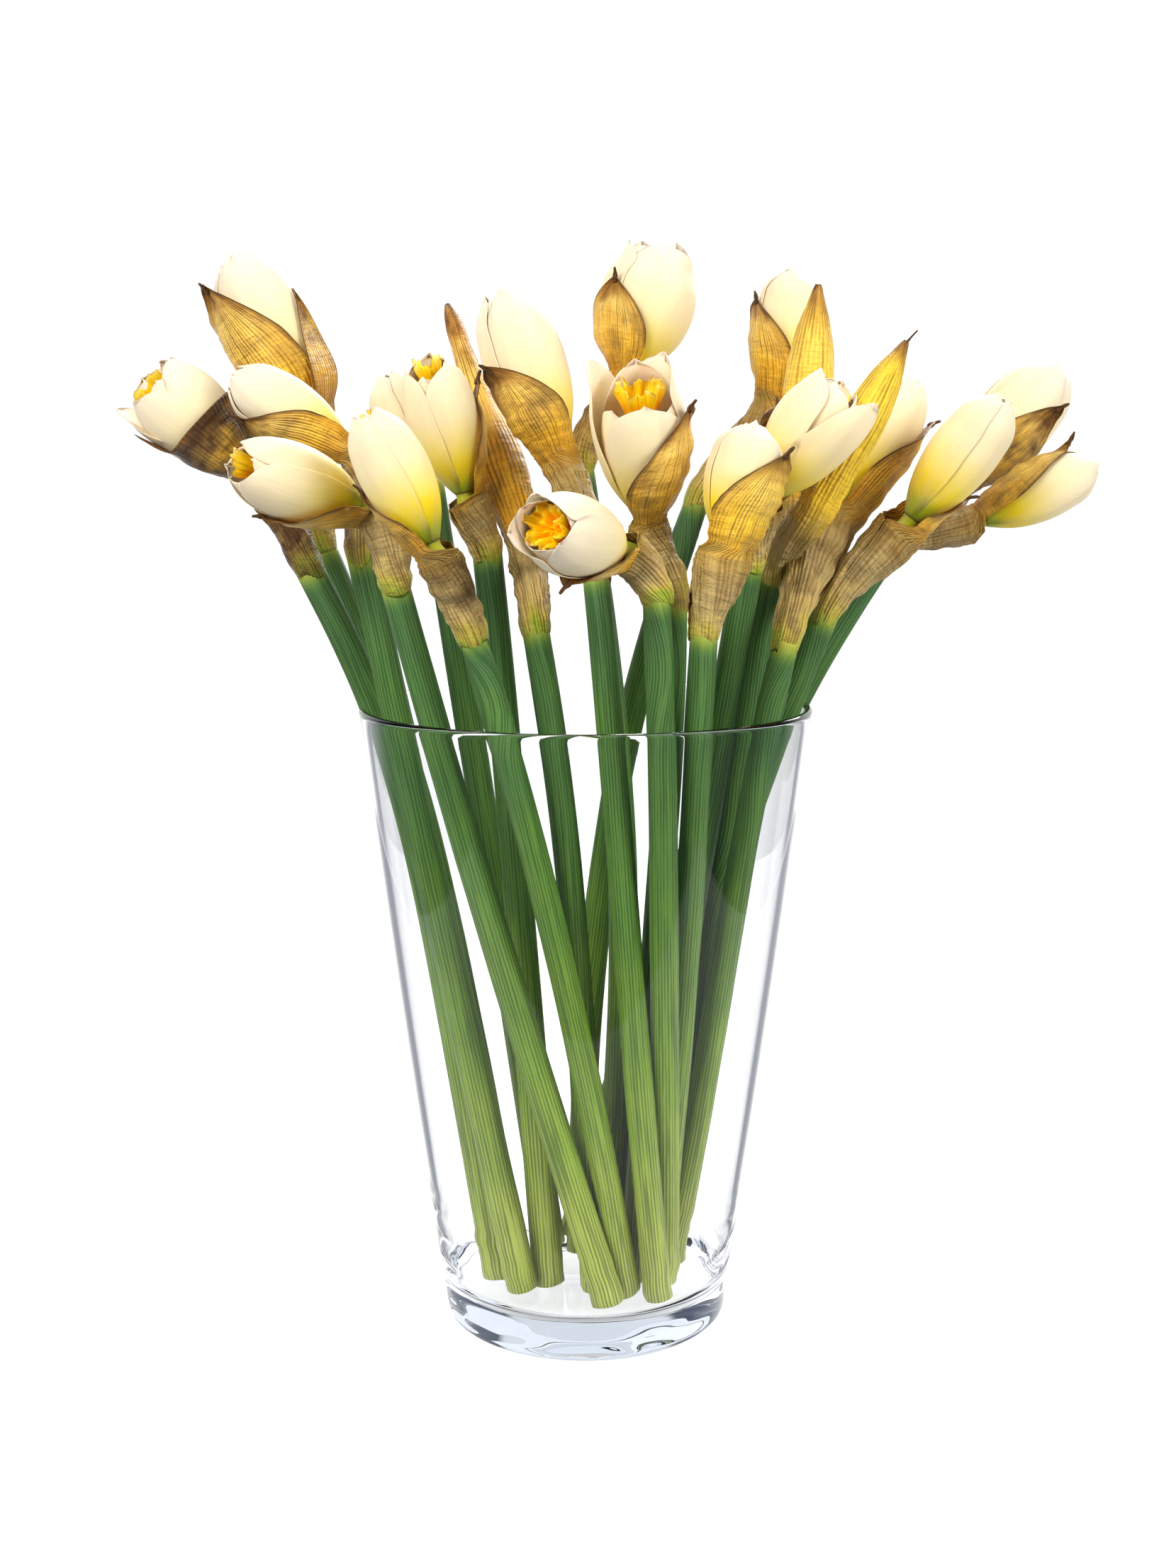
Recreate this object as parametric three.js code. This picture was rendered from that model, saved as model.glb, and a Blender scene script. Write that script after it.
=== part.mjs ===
// A bunch of half-open cream narcissi standing in a clear, tapered glass vase.
// Millimetres, +Z up. The origin is the centre of the vase's underside, and -Y is the front.
import * as THREE from 'three';

// The vase: blown glass, open at the top, with a thick solid base.
const vaseHeight = 200;
const vaseFootRadius = 45.2;      // just above the rounded bottom edge
const vaseMiddleRadius = 59;      // half way up
const vaseRimRadius = 71.3;
const vaseWall = 2.6;
const vaseFloor = 12;             // thickness of the solid base
const vaseEdgeRound = 3.2;        // bottom edge outside
const vaseCornerRound = 7;        // corner between floor and wall inside
const vaseWallShares = [0.2, 0.45, 0.7];  // heights of the wall's rings, as shares of the vase's
const vaseSegments = 44;

// The stems.
const stemWide = 9.4;
const stemThin = 8.4;
const stemSides = 8;
const stemSteps = 11;
const rimLevel = 196;
const seatGap = 0.3;              // between touching pieces
const neckStraight = 12;          // length under the neck that already points to the bloom
const neckLean = 0.5;             // how much of the bloom's own lean that length takes
const footLift = 0.45;            // between the vase's floor and the low edge of a stem's cut end

// How the bunch settles in the vase.
const stemLevels = 14;            // equal parts of a stem
const stemSpacing = 10.1;         // least distance between two stems' middles
const settlePasses = 260;
const settleSmoothing = 0.12;     // share by which a point moves between its neighbours in one pass
const settlePush = 0.5;           // share of an overlap that each of two stems gives way
const glassGap = 2.2;             // between a leaning stem's line and the glass, past its radius
const rimReach = 14;              // height above the rim where the glass still holds a stem in

// The spathes: the papery sheath and hood round each bud.
const paperThickness = 0.9;
const sheathRadii = [4.7, 5.3, 6, 6.4];     // at equal steps from the stem's top
const sheathEndRadius = 6.8;      // under a hood
const budEndRadius = 6.4;         // under a closed bud
const sheathPoints = 6;           // on the outer arc, and as many on the inner one
const sheathDrop = 1.4;           // from the bloom's base down to the sheath's end
const hoodClearance = 0.4;
const hoodEase = 1.3;             // more room at the bloom's base, where the paper bags
const hoodHalfArc = 100;          // degrees, at the bloom's base; it narrows upwards
const hoodStart = 0.1;            // lowest of the hood's rings, as a share of the bloom's length
const hoodEnd = 0.86;             // where the hood becomes a point, as a share of its reach
const hoodRingGap = 0.05;         // least step between the last two rings
const hoodTrim = 0.3;             // how far the inner face stops short at the edges, in thicknesses
const budHeights = [0.3, 0.55, 0.8, 0.93];  // of a closed bud's rings, as shares of its length
const budWidths = [0.96, 1, 0.66, 0.3];     // there, as shares of its width

// The blooms: three outer tepals lapping three inner ones.
const tepalStep = 1.1;            // how far the outer tepals stand over the inner ones
const fullStepWidth = 2 / 3;      // ring width, as a share of the bloom's, from which they do so
const tepalThickness = 0.9;
const outerHalfWidth = 37;        // degrees, half the arc that an outer tepal covers
const innerHalfWidth = 20;        // and an inner one
const tepalCornerDrop = 0.055;    // how much lower than its point a tepal's corners end
const innerTepalDrop = 0.02;      // how much lower the inner tepals end
const splayCorner = 0.7;          // how much of a splayed tepal's lean its corners take
const bloomRings = [              // height up the bloom and width there, as shares
  { at: 0.04, wide: 0.32 }, { at: 0.2, wide: 0.71 }, { at: 0.45, wide: 0.98 },
  { at: 0.68, wide: 0.98 }, { at: 0.87, wide: 0.78 },
];
const mouthWidth = [0.26, 0.82];  // of a closed and of a wide-open bloom, as shares of its width
const mouthDepth = [0.9, 0.66];   // height of the floor inside them
const lipDepth = 0.03;            // from the tepals' ends down to their inner edge
const coronaFrom = 0.3;           // opening from which the corona shows
const coronaHeight = 0.1;
const coronaWidths = [0.72, 0.6, 0.42];     // foot, rim and throat, as shares of the mouth
const throatDepth = 0.06;         // of the middle below the mouth's floor

const colours = {
  glass: 0xdfe9e6, stem: 0x4c8a35, spathe: 0xb98a3c, tepal: 0xfbf3dc,
};

// One row for each flower, in mm.
// foot and rim: where the stem stands on the vase's floor and where it passes the rim, [x, y].
// neck: top of the green stem. base and tip: lower end and top of the bloom. wide: its width.
// open: 0 a closed bud, 1 a wide mouth. side: the way the hood's back faces.
// reach and lift: how far the hood's point comes up the bloom, and how far off its axis.
// splay: a tepal that leans out, by its number and by how many mm. arc: half the arc of a hood that
// is narrower than most, in degrees. bud: ring widths of a bud that isn't plump.
const flowers = [
  { foot: [-28, -8], rim: [-62, -2], neck: [-85, -12, 244], base: [-105, -5, 275], tip: [-137, -4, 302],
    wide: 28, open: 0.75, side: [0.3, -1, -0.5], reach: 0.36, lift: 15, splay: [3, 7] },
  { foot: [-25, 12], rim: [-58, 17], neck: [-85, 20, 249], base: [-89, 25, 291], tip: [-112, 30, 340],
    wide: 28, open: 0.25, side: [-1, -0.8, -0.4], reach: 0.9, lift: 15 },
  { foot: [-20, -18], rim: [-56, -24], neck: [-68, -18, 248], base: [-72, -16, 280], tip: [-106, -16, 301],
    wide: 20, open: 0.15, side: [0.3, -0.4, -1], reach: 0.85, lift: 11.5 },
  { foot: [8, -28], rim: [-47, -38], neck: [-56, -40, 241], base: [-65, -40, 263], tip: [-100, -56, 276],
    wide: 22.5, open: 0.45, side: [0, 0.3, -1], reach: 0.8, lift: 12 },
  { foot: [14, -20], rim: [-18, -52], neck: [-33, -55, 228], base: [-43, -61, 252.5],
    tip: [-61.5, -62, 289], wide: 20.5, open: 0.2, side: [-1, 0.4, -0.6], reach: 0.55, lift: 11.5 },
  { foot: [-12, -12], rim: [-25, -14], neck: [-30, -16, 250], base: [-36.5, -18, 266],
    tip: [-47.5, -23, 307], wide: 21.5, open: 0.5, side: [1, 0, -0.2], reach: 0.75, lift: 13 },
  { foot: [-12, 20], rim: [-38, 22], neck: [-50, 24, 269.5], base: [-50, 24, 270], tip: [-64, 26, 303],
    wide: 20, open: 0, bare: true },
  { foot: [22, -22], rim: [8, -58], neck: [3, -36, 244], base: [-8.5, -10, 278], tip: [-26, -4, 326.5],
    wide: 25, open: 0.2, side: [-0.8, -1, -0.4], reach: 0.58, lift: 17.5 },
  { foot: [3, -16], rim: [-3, -44], neck: [-15, -34, 228], base: [-20, -9.5, 255.5], tip: [-44, 27, 325],
    wide: 15, closed: true, bud: [1.05, 0.6, 0.4, 0.32] },
  { foot: [6, -2], rim: [32, -26], neck: [-2, 8, 275], base: [13, 10, 303], tip: [24, 16, 341], wide: 30,
    open: 0.85, side: [-0.5, -1, 0], reach: 0.62, lift: 17 },
  { foot: [16, -9], rim: [27, -42], neck: [26, -42, 236], base: [17.5, -40, 260.5], tip: [15, -58, 303],
    wide: 26, open: 0.85, side: [1, -0.5, 0], reach: 0.77, lift: 15.5, splay: [2, 6] },
  { foot: [25, -11], rim: [19, -58], neck: [20, -64, 240], base: [9.5, -67, 251.5], tip: [-14, -98, 260],
    wide: 22.5, open: 0.9, side: [0.1, 0.3, -1], reach: 0.5, lift: 13.5 },
  { foot: [24, 2], rim: [35, -49], neck: [34, -57, 229], base: [40, -58, 252.5], tip: [48, -56, 286],
    wide: 21.5, open: 0, side: [1, -0.8, -0.3], reach: 0.82, lift: 12.5 },
  { foot: [14, 6], rim: [42, -24], neck: [49, -26, 247], base: [54, -33, 266], tip: [74, -36, 299],
    wide: 24, open: 0.6, side: [-0.7, 0.7, 0.3], reach: 0.6, lift: 14.5, splay: [2, 9] },
  { foot: [-2, 12], rim: [-6, 36], neck: [37, 35, 264], base: [61.5, 35, 298], tip: [68, 38, 337], wide: 21,
    open: 0, side: [-1, -0.4, 0], reach: 0.7, lift: 12 },
  { foot: [6, 22], rim: [50, 6], neck: [59, 6, 246], base: [67, 8.5, 267], tip: [72.5, 12, 330], wide: 15,
    closed: true },
  { foot: [20, 13], rim: [52, -12], neck: [57, -11, 243], base: [69.5, -23, 263], tip: [95.5, -19, 311],
    wide: 13, closed: true },
  { foot: [25, 10], rim: [55, -28], neck: [60, -31, 223], base: [80.5, 8, 262], tip: [103.5, 21, 301.5],
    wide: 23, open: 0.3, side: [1, 0.1, -0.9], reach: 0.85, lift: 14 },
  { foot: [10, 14], rim: [60, -8], neck: [74, -10, 230], base: [100, -6, 258], tip: [127, -12, 294.5],
    wide: 23, open: 0, side: [0.5, 0.5, -1], reach: 0.35, lift: 12 },
  { foot: [-3, 26], rim: [48, 30], neck: [89, 39, 238], base: [126, 46, 268], tip: [157, 52, 303], wide: 26,
    open: 0.2, side: [0.3, -1, -0.35], reach: 0.75, lift: 15.5, arc: 55 },
  { foot: [14, 22], rim: [60, 12], neck: [98, 15, 250], base: [127, 20, 257], tip: [165, 26, 274.5],
    wide: 19, open: 0, side: [-0.3, -0.1, 1], reach: 0.9, lift: 11.5, arc: 75 },
];

const vector = (list) => new THREE.Vector3(...list);
const radians = THREE.MathUtils.degToRad;
const two = (number) => String(number).padStart(2, '0');

// outer radius at a height: a slow curve through the foot, middle and rim radii
function vaseOuterAt(z) {
  const t = z / vaseHeight;
  const bulge = 2 * (2 * vaseMiddleRadius - vaseFootRadius - vaseRimRadius);
  return vaseFootRadius + (vaseRimRadius - vaseFootRadius) * t + bulge * t * (1 - t);
}

// The wall's profile, from the middle of the underside up the outside, over the round lip and
// down to the middle of the floor inside, turned round the axis.
function vaseGeometry() {
  const profile = [new THREE.Vector2(0, 0)];
  const arc = (cx, cy, radius, from, to, steps) => {
    for (let k = 0; k <= steps; k++) {
      const a = radians(from + (to - from) * k / steps);
      profile.push(new THREE.Vector2(cx + radius * Math.cos(a), cy + radius * Math.sin(a)));
    }
  };
  arc(vaseOuterAt(vaseEdgeRound) - vaseEdgeRound, vaseEdgeRound, vaseEdgeRound, -90, 0, 3);
  for (const share of vaseWallShares) {
    profile.push(new THREE.Vector2(vaseOuterAt(share * vaseHeight), share * vaseHeight));
  }
  const lip = vaseWall / 2;
  arc(vaseRimRadius - lip, vaseHeight - lip, lip, 0, 180, 4);
  for (const share of [...vaseWallShares].reverse()) {
    profile.push(new THREE.Vector2(vaseOuterAt(share * vaseHeight) - vaseWall, share * vaseHeight));
  }
  const cornerZ = vaseFloor + vaseCornerRound;
  arc(vaseOuterAt(cornerZ) - vaseWall - vaseCornerRound, cornerZ, vaseCornerRound, 0, -90, 3);
  profile.push(new THREE.Vector2(0, vaseFloor));
  return new THREE.LatheGeometry(profile, vaseSegments).rotateX(Math.PI / 2);
}

// A closed skin over rings of equally many points, with a point at each end. Every four-sided
// field is split along its shorter diagonal, so the two faces of a thin sheet split alike.
function skin(first, rings, last) {
  const count = rings[0].length;
  const points = [first, ...rings.flat(), last];
  const index = [];
  const at = (ring, k) => 1 + ring * count + (k % count);
  for (let k = 0; k < count; k++) {
    index.push(0, at(0, k + 1), at(0, k));
    index.push(points.length - 1, at(rings.length - 1, k), at(rings.length - 1, k + 1));
  }
  for (let ring = 0; ring + 1 < rings.length; ring++) {
    for (let k = 0; k < count; k++) {
      const [a, b, c, d] = [at(ring, k), at(ring, k + 1), at(ring + 1, k + 1), at(ring + 1, k)];
      const straight = points[a].distanceTo(points[c]) <= points[b].distanceTo(points[d]);
      index.push(...(straight ? [a, b, c, a, c, d] : [a, b, d, b, c, d]));
    }
  }
  const geometry = new THREE.BufferGeometry().setFromPoints(points);
  geometry.setIndex(index);
  geometry.computeVertexNormals();
  return geometry;
}

// the part of a direction that is square to an axis, at unit length
const squareTo = (direction, axis) =>
  direction.clone().addScaledVector(axis, -direction.dot(axis)).normalize();

// axis, side and cross directions of a bloom, and its length
function headFrame(flower) {
  const base = vector(flower.base);
  const axis = vector(flower.tip).sub(base);
  const length = axis.length();
  axis.normalize();
  const side = squareTo(vector(flower.side ?? [0, -1, 0]), axis);
  return { base, axis, side, cross: axis.clone().cross(side), length };
}

// a point of a bloom or hood: share up its length, distance off its axis, angle from the hood's side
function headPoint(head, share, radius, angle) {
  return head.base.clone()
    .addScaledVector(head.axis, share * head.length)
    .addScaledVector(head.side, radius * Math.cos(angle))
    .addScaledVector(head.cross, radius * Math.sin(angle));
}

// width of a bloom at a height, as a share of its full width
function bloomWidthAt(share) {
  const above = bloomRings.findIndex(({ at }) => at > share);
  if (above === 0) return bloomRings[0].wide;
  if (above < 0) return bloomRings.at(-1).wide;
  const [low, high] = [bloomRings[above - 1], bloomRings[above]];
  return THREE.MathUtils.mapLinear(share, low.at, high.at, low.wide, high.wide);
}

// Bloom: 18 points a ring, three on each tepal. Outer tepals stand over the inner ones by a step,
// and each tepal ends in its own rounded point, so the mouth is scalloped.
function bloomGeometry(flower) {
  const head = headFrame(flower);
  const radius = flower.wide / 2;
  const petals = [];
  for (let tepal = 0; tepal < 6; tepal++) {
    const outer = tepal % 2 === 0;
    const half = outer ? outerHalfWidth : innerHalfWidth;
    for (const step of [-1, 0, 1]) {
      const lean = flower.splay && flower.splay[0] === tepal ? flower.splay[1] : 0;
      petals.push({ angle: radians(60 * tepal + 60 + half * step), outer, middle: step === 0, lean });
    }
  }
  const ring = (share, width, lipped) => petals.map(({ angle, outer, middle, lean }) => {
    const sunk = outer ? 0 : tepalStep * Math.min(1, width / fullStepWidth);
    const height = share - (lipped && !middle ? tepalCornerDrop : 0)
      - (lipped && !outer ? innerTepalDrop : 0);
    const out = lean * share ** 3 * (middle ? 1 : splayCorner);
    return headPoint(head, height, radius * width - sunk + out, angle);
  });
  const mouth = THREE.MathUtils.lerp(...mouthWidth, flower.open);
  const rings = bloomRings.map(({ at, wide }) =>
    ring(at, at > 0.8 ? Math.max(wide, mouth) : wide, false));
  rings.push(ring(1, mouth, true));
  const wall = tepalThickness / radius;
  rings.push(ring(1 - lipDepth, mouth - wall, true));
  const deep = THREE.MathUtils.lerp(...mouthDepth, flower.open);
  if (flower.open > coronaFrom) {   // a wide mouth shows the corona, a low frilled cup
    const cup = (share, width) => petals.map(({ angle, middle }) =>
      headPoint(head, share - (middle ? 0 : lipDepth), radius * width * mouth, angle));
    const [foot, rim, throat] = coronaWidths;
    rings.push(cup(deep, foot), cup(deep + coronaHeight, rim), cup(deep, throat));
  }
  return skin(head.base, rings, headPoint(head, deep - throatDepth, 0, 0));
}

// one cross-section of a spathe: an outer arc and an inner arc back, round the middle
function spatheRing(middle, side, cross, outer, outerArc, inner, innerFrom, innerTo) {
  const points = [];
  for (let k = 0; k < 2 * sheathPoints; k++) {
    const share = (k % sheathPoints) / (sheathPoints - 1);
    const back = k >= sheathPoints;
    const angle = back ? innerFrom + (innerTo - innerFrom) * share : outerArc * (2 * share - 1);
    const radius = back ? inner : outer;
    points.push(middle.clone()
      .addScaledVector(side, radius * Math.cos(angle))
      .addScaledVector(cross, radius * Math.sin(angle)));
  }
  return points;
}

// a full round: both arcs run the same way on, with all the points equally spaced
const roundArc = Math.PI * (1 - 1 / sheathPoints) / 2;
const solidRing = (middle, side, cross, radius) => spatheRing(
  middle, side, cross, radius, roundArc, radius, Math.PI - roundArc, Math.PI + roundArc);

// Spathe: a round sheath from the stem's top to the bloom's base, then either a hood, which is a
// thin shell behind the bloom that narrows to a point, or a closed pointed bud.
function spatheGeometry(flower, stemDirection) {
  const head = headFrame(flower);
  const neck = vector(flower.neck).addScaledVector(stemDirection, seatGap);
  const sheathEnd = head.base.clone().addScaledVector(head.axis, flower.closed ? 0 : -sheathDrop);
  const pull = neck.distanceTo(sheathEnd) / 3;
  const curve = new THREE.CubicBezierCurve3(
    neck, neck.clone().addScaledVector(stemDirection, pull),
    sheathEnd.clone().addScaledVector(head.axis, -pull), sheathEnd);
  const radii = [...sheathRadii, flower.closed ? budEndRadius : sheathEndRadius];
  const sections = [];
  let side = head.side;             // carried down from the bloom, so that the rings don't turn
  for (let k = radii.length - 1; k >= 0; k--) {
    const share = k / (radii.length - 1);
    const along = curve.getTangent(share);
    side = squareTo(side, along);
    sections.unshift(solidRing(curve.getPoint(share), side, along.clone().cross(side), radii[k]));
  }
  if (flower.closed) {
    budHeights.forEach((share, k) => {
      const width = (flower.bud ?? budWidths)[k] * flower.wide / 2;
      sections.push(solidRing(headPoint(head, share, 0, 0), head.side, head.cross, width));
    });
    return skin(neck, sections, vector(flower.tip));
  }
  const heights = [-seatGap / head.length,
    ...bloomRings.map(({ at }) => at)
      .filter((at) => at > hoodStart && at < hoodEnd * flower.reach - hoodRingGap),
    hoodEnd * flower.reach];
  const widest = flower.arc ?? hoodHalfArc;
  const arcs = heights.map((at) => radians(widest * (1 - (at / flower.reach) ** 2)));
  heights.forEach((at, k) => {
    const half = arcs[k];           // flat fields dip towards the bloom by the turn that they cross
    const turn = Math.max(half / (sheathPoints - 1), ((arcs[k - 1] ?? half) - half) / 2,
      (half - (arcs[k + 1] ?? 0)) / 2);
    const ease = hoodClearance + hoodEase * (1 - at / flower.reach);
    const inner = (bloomWidthAt(at) * flower.wide / 2 + ease) / Math.cos(turn);
    const trim = paperThickness * hoodTrim / inner;
    sections.push(spatheRing(headPoint(head, at, 0, 0), head.side, head.cross,
      inner + paperThickness, half, inner, half - trim, trim - half));
  });
  return skin(neck, sections, headPoint(head, flower.reach, flower.lift, 0));
}

// first line of a stem: through its foot, the rim and its neck, as equally spaced points
function stemDraft(flower) {
  const foot = new THREE.Vector3(flower.foot[0], flower.foot[1], vaseFloor + footLift);
  const rim = new THREE.Vector3(flower.rim[0], flower.rim[1], rimLevel);
  const neck = vector(flower.neck);
  const rise = neck.clone().sub(rim).normalize()
    .add(vector(flower.base).sub(neck).normalize().multiplyScalar(neckLean)).normalize();
  const under = neck.clone().addScaledVector(rise, -neckStraight);
  return new THREE.CatmullRomCurve3([foot, rim, under, neck], false, 'centripetal')
    .getSpacedPoints(stemLevels);
}

// The bunch settles: stems that come too close are pushed apart, all stay inside the glass, and
// each line is kept smooth. The necks stay where they are.
function settleStems(lines) {
  const apart = new THREE.Vector3();
  const near = new THREE.Vector3();
  const segment = new THREE.Line3();
  for (let pass = 0; pass < settlePasses; pass++) {
    for (const line of lines) {
      for (let k = 1; k + 2 < line.length; k++) {
        near.copy(line[k - 1]).add(line[k + 1]).multiplyScalar(0.5);
        line[k].lerp(near, settleSmoothing);
      }
    }
    lines.forEach((line, mine) => lines.forEach((other, theirs) => {
      if (mine === theirs) return;
      for (let k = 0; k + 2 < line.length; k++) {
        for (let s = 0; s + 1 < other.length; s++) {
          segment.set(other[s], other[s + 1]).closestPointToPoint(line[k], true, near);
          apart.copy(line[k]).sub(near);
          const distance = apart.length();
          if (distance >= stemSpacing) continue;
          apart.setZ(0).normalize().multiplyScalar((stemSpacing - distance) * settlePush);
          line[k].add(apart);       // and the other's two nearest points take half of it each
          if (s + 3 < other.length) other[s].addScaledVector(apart, -0.5);
          if (s + 4 < other.length) other[s + 1].addScaledVector(apart, -0.5);
        }
      }
    }));
    for (const line of lines) {
      const lean = line[1].clone().sub(line[0]).setZ(0).length() / line[1].distanceTo(line[0]);
      line[0].z = vaseFloor + footLift + lean * stemWide / 2;
      for (const point of line) {
        if (point.z > vaseHeight + rimReach) continue;
        const room = vaseOuterAt(Math.min(point.z, vaseHeight)) - vaseWall - stemWide / 2 - glassGap
          - Math.max(0, vaseFloor + vaseCornerRound - point.z);
        const out = Math.hypot(point.x, point.y);
        if (out > room) point.set(point.x * room / out, point.y * room / out, point.z);
      }
    }
  }
}

// An oval section with flat sides, carried up a settled line.
function stemGeometry(line) {
  const section = new THREE.Shape();
  for (let k = 0; k < stemSides; k++) {
    const a = 2 * Math.PI * k / stemSides;
    const [x, y] = [stemThin / 2 * Math.cos(a), stemWide / 2 * Math.sin(a)];
    if (k === 0) section.moveTo(x, y);
    else section.lineTo(x, y);
  }
  const extrudePath = new THREE.CatmullRomCurve3(line, false, 'centripetal');
  return new THREE.ExtrudeGeometry(section, { steps: stemSteps, bevelEnabled: false, extrudePath });
}

const bunch = new THREE.Group();
bunch.name = 'narcissus_vase';

function addPiece(name, geometry, colour, roughness, extras = {}) {
  const material = new THREE.MeshStandardMaterial({ color: colour, roughness, metalness: 0, ...extras });
  const mesh = new THREE.Mesh(geometry, material);
  mesh.name = name;
  bunch.add(mesh);
}

addPiece('vase', vaseGeometry(), colours.glass, 0.03, { transparent: true, opacity: 0.35 });

const lines = flowers.map(stemDraft);
settleStems(lines);
flowers.forEach((flower, k) => {
  const line = lines[k];
  const number = two(k + 1);
  const direction = line.at(-1).clone().sub(line.at(-2)).normalize();
  addPiece(`stem_${number}`, stemGeometry(line), colours.stem, 0.5);
  if (!flower.bare) addPiece(`spathe_${number}`, spatheGeometry(flower, direction), colours.spathe, 0.8);
  if (!flower.closed) addPiece(`bloom_${number}`, bloomGeometry(flower), colours.tepal, 0.55);
});

export default bunch;
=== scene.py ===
# Half-open cream narcissi in a clear glass vase: the finished surfaces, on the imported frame.
# Lengths in the tables are millimetres; meshes are put in as metres.
import math

import bpy
import numpy as np
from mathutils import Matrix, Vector


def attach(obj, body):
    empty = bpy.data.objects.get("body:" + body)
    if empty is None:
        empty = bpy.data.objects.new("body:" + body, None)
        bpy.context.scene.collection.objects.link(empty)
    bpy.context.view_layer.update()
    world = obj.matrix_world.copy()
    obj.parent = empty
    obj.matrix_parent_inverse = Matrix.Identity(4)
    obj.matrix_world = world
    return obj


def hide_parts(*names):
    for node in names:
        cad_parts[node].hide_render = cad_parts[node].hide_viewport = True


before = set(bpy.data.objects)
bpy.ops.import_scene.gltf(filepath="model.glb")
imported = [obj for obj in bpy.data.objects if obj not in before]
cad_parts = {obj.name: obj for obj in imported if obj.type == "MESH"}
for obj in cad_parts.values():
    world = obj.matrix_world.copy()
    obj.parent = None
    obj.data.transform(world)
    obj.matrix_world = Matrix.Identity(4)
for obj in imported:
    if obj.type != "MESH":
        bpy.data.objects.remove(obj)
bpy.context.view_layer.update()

mm = 0.001


# small helpers

# directions made one long
def unit(way):
    return way / np.linalg.norm(way, axis=-1, keepdims=True)


# the part of a direction that is square to an axis
def squareTo(way, axis):
    way = np.asarray(way, float)
    return unit(way - np.sum(way * axis, axis=-1, keepdims=True) * axis)


# 0 below low, 1 above high, and a smooth S between
def ease(low, high, x):
    t = np.clip((np.asarray(x, float) - low) / (high - low), 0, 1)
    return t * t * (3 - 2 * t)


# cubic Hermite curve through values at knots, whose slopes are the central differences
def throughPoints(knots, values, x):
    knots = np.asarray(knots, float)
    values = np.asarray(values, float)
    slopes = np.gradient(values, knots, axis=0)
    k = np.clip(np.searchsorted(knots, x, side="right") - 1, 0, len(knots) - 2)
    span = knots[k + 1] - knots[k]
    t = (np.clip(x, knots[0], knots[-1]) - knots[k]) / span
    if values.ndim > 1:
        t, span = t[..., None], span[..., None]
    start = (1 + 2 * t) * (1 - t) ** 2 * values[k] + t * (1 - t) ** 2 * span * slopes[k]
    end = t * t * (3 - 2 * t) * values[k + 1] + t * t * (t - 1) * span * slopes[k + 1]
    return start + end


# a bell that is 1 at 0 and falls to 1/e at its width
def bell(x, width):
    return np.exp(-(x / width) ** 2)


# angles of a ring's points, once round
def fullTurn(count):
    return np.linspace(0, 2 * math.pi, count, endpoint=False)


# from -1 to 1 across a sheet, closer together towards its edges: a sine of even steps
def acrossSheet(columns):
    return np.sin(np.linspace(-0.5, 0.5, columns) * math.pi)[None, :]


# points off a line, by x and y along two directions that are square to it
def offLine(line, first, second, x, y):
    return line[:, None] + x[..., None] * first[:, None] + y[..., None] * second[:, None]


# where a pattern lies on a piece, in mm: across, along, and a third number that keeps pieces apart
def patternPlace(shape, across, along, apart):
    return np.stack([np.broadcast_to(part, shape) for part in (across, along, apart)], axis=-1)


# soft folds without a repeat: a sum of sines whose directions and phases are drawn from a seed
def crumple(u, v, seed, waves=6):
    draw = np.random.default_rng(seed)
    total = 0
    for _ in range(waves):
        a, b = draw.normal(size=2)
        total = total + np.sin(a * u + b * v + draw.uniform(0, 2 * math.pi))
    return total / math.sqrt(waves)


# meshes

quadCorners = ((0, 0), (0, 1), (1, 1), (1, 0))


# the four-sided fields of a grid of vertex numbers, one row of four numbers for each
def gridQuads(index):
    last = index.shape
    parts = [index[a:last[0] - 1 + a, b:last[1] - 1 + b].ravel() for a, b in quadCorners]
    return np.stack(parts, axis=1)


# six times the volume under triangles, as a sum of triple products
def sixVolumes(a, b, c):
    return np.einsum("ij,ij->", a, np.cross(b, c))


# turns the faces round where the volume that they close comes out below zero
def facingOut(points, quads, fans):
    volume = 0
    for a, b, c in ((0, 1, 2), (0, 2, 3)):
        volume += sixVolumes(points[quads[:, a]], points[quads[:, b]], points[quads[:, c]])
    if len(fans):
        volume += sixVolumes(points[fans[:, 0]], points[fans[:, 1]], points[fans[:, 2]])
    if volume < 0:
        quads, fans = quads[:, ::-1], fans[:, ::-1]
    return quads, fans


# what the material reads at each vertex: the grid's values, then those of the vertices after it
def vertexFacts(facts, shape, after):
    values = {}
    for name, value in facts.items():
        full = np.broadcast_to(value, shape if name == "lay" else shape[:2])
        values[name] = np.concatenate([full.reshape(-1, *full.shape[2:]), after(full)])
    return values


# a thin closed sheet on a grid: the grid moved by half the thickness along its normals to either
# side, with both sides meeting at the border, where the thickness is nothing
def sheetPart(points, thickness, facts):
    rows, columns = points.shape[:2]
    along = np.gradient(points, axis=0)
    across = np.gradient(points, axis=1)
    normal = np.cross(along, across)
    normal /= np.maximum(np.linalg.norm(normal, axis=-1, keepdims=True), 1e-9)
    half = normal * (np.broadcast_to(thickness, points.shape[:2]) / 2)[..., None]
    half[[0, -1], :] = 0
    half[:, [0, -1]] = 0

    def inner(full):
        return full[1:-1, 1:-1].reshape(-1, *full.shape[2:])

    front = np.arange(rows * columns).reshape(rows, columns)
    back = front.copy()
    back[1:-1, 1:-1] = rows * columns + np.arange((rows - 2) * (columns - 2)).reshape(rows - 2, -1)
    corners = np.concatenate([(points + half).reshape(-1, 3), inner(points - half)])
    quads = np.concatenate([gridQuads(front), gridQuads(back)[:, ::-1]])
    fans = np.zeros((0, 3), int)
    return (corners, *facingOut(corners, quads, fans), vertexFacts(facts, points.shape, inner))


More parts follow.
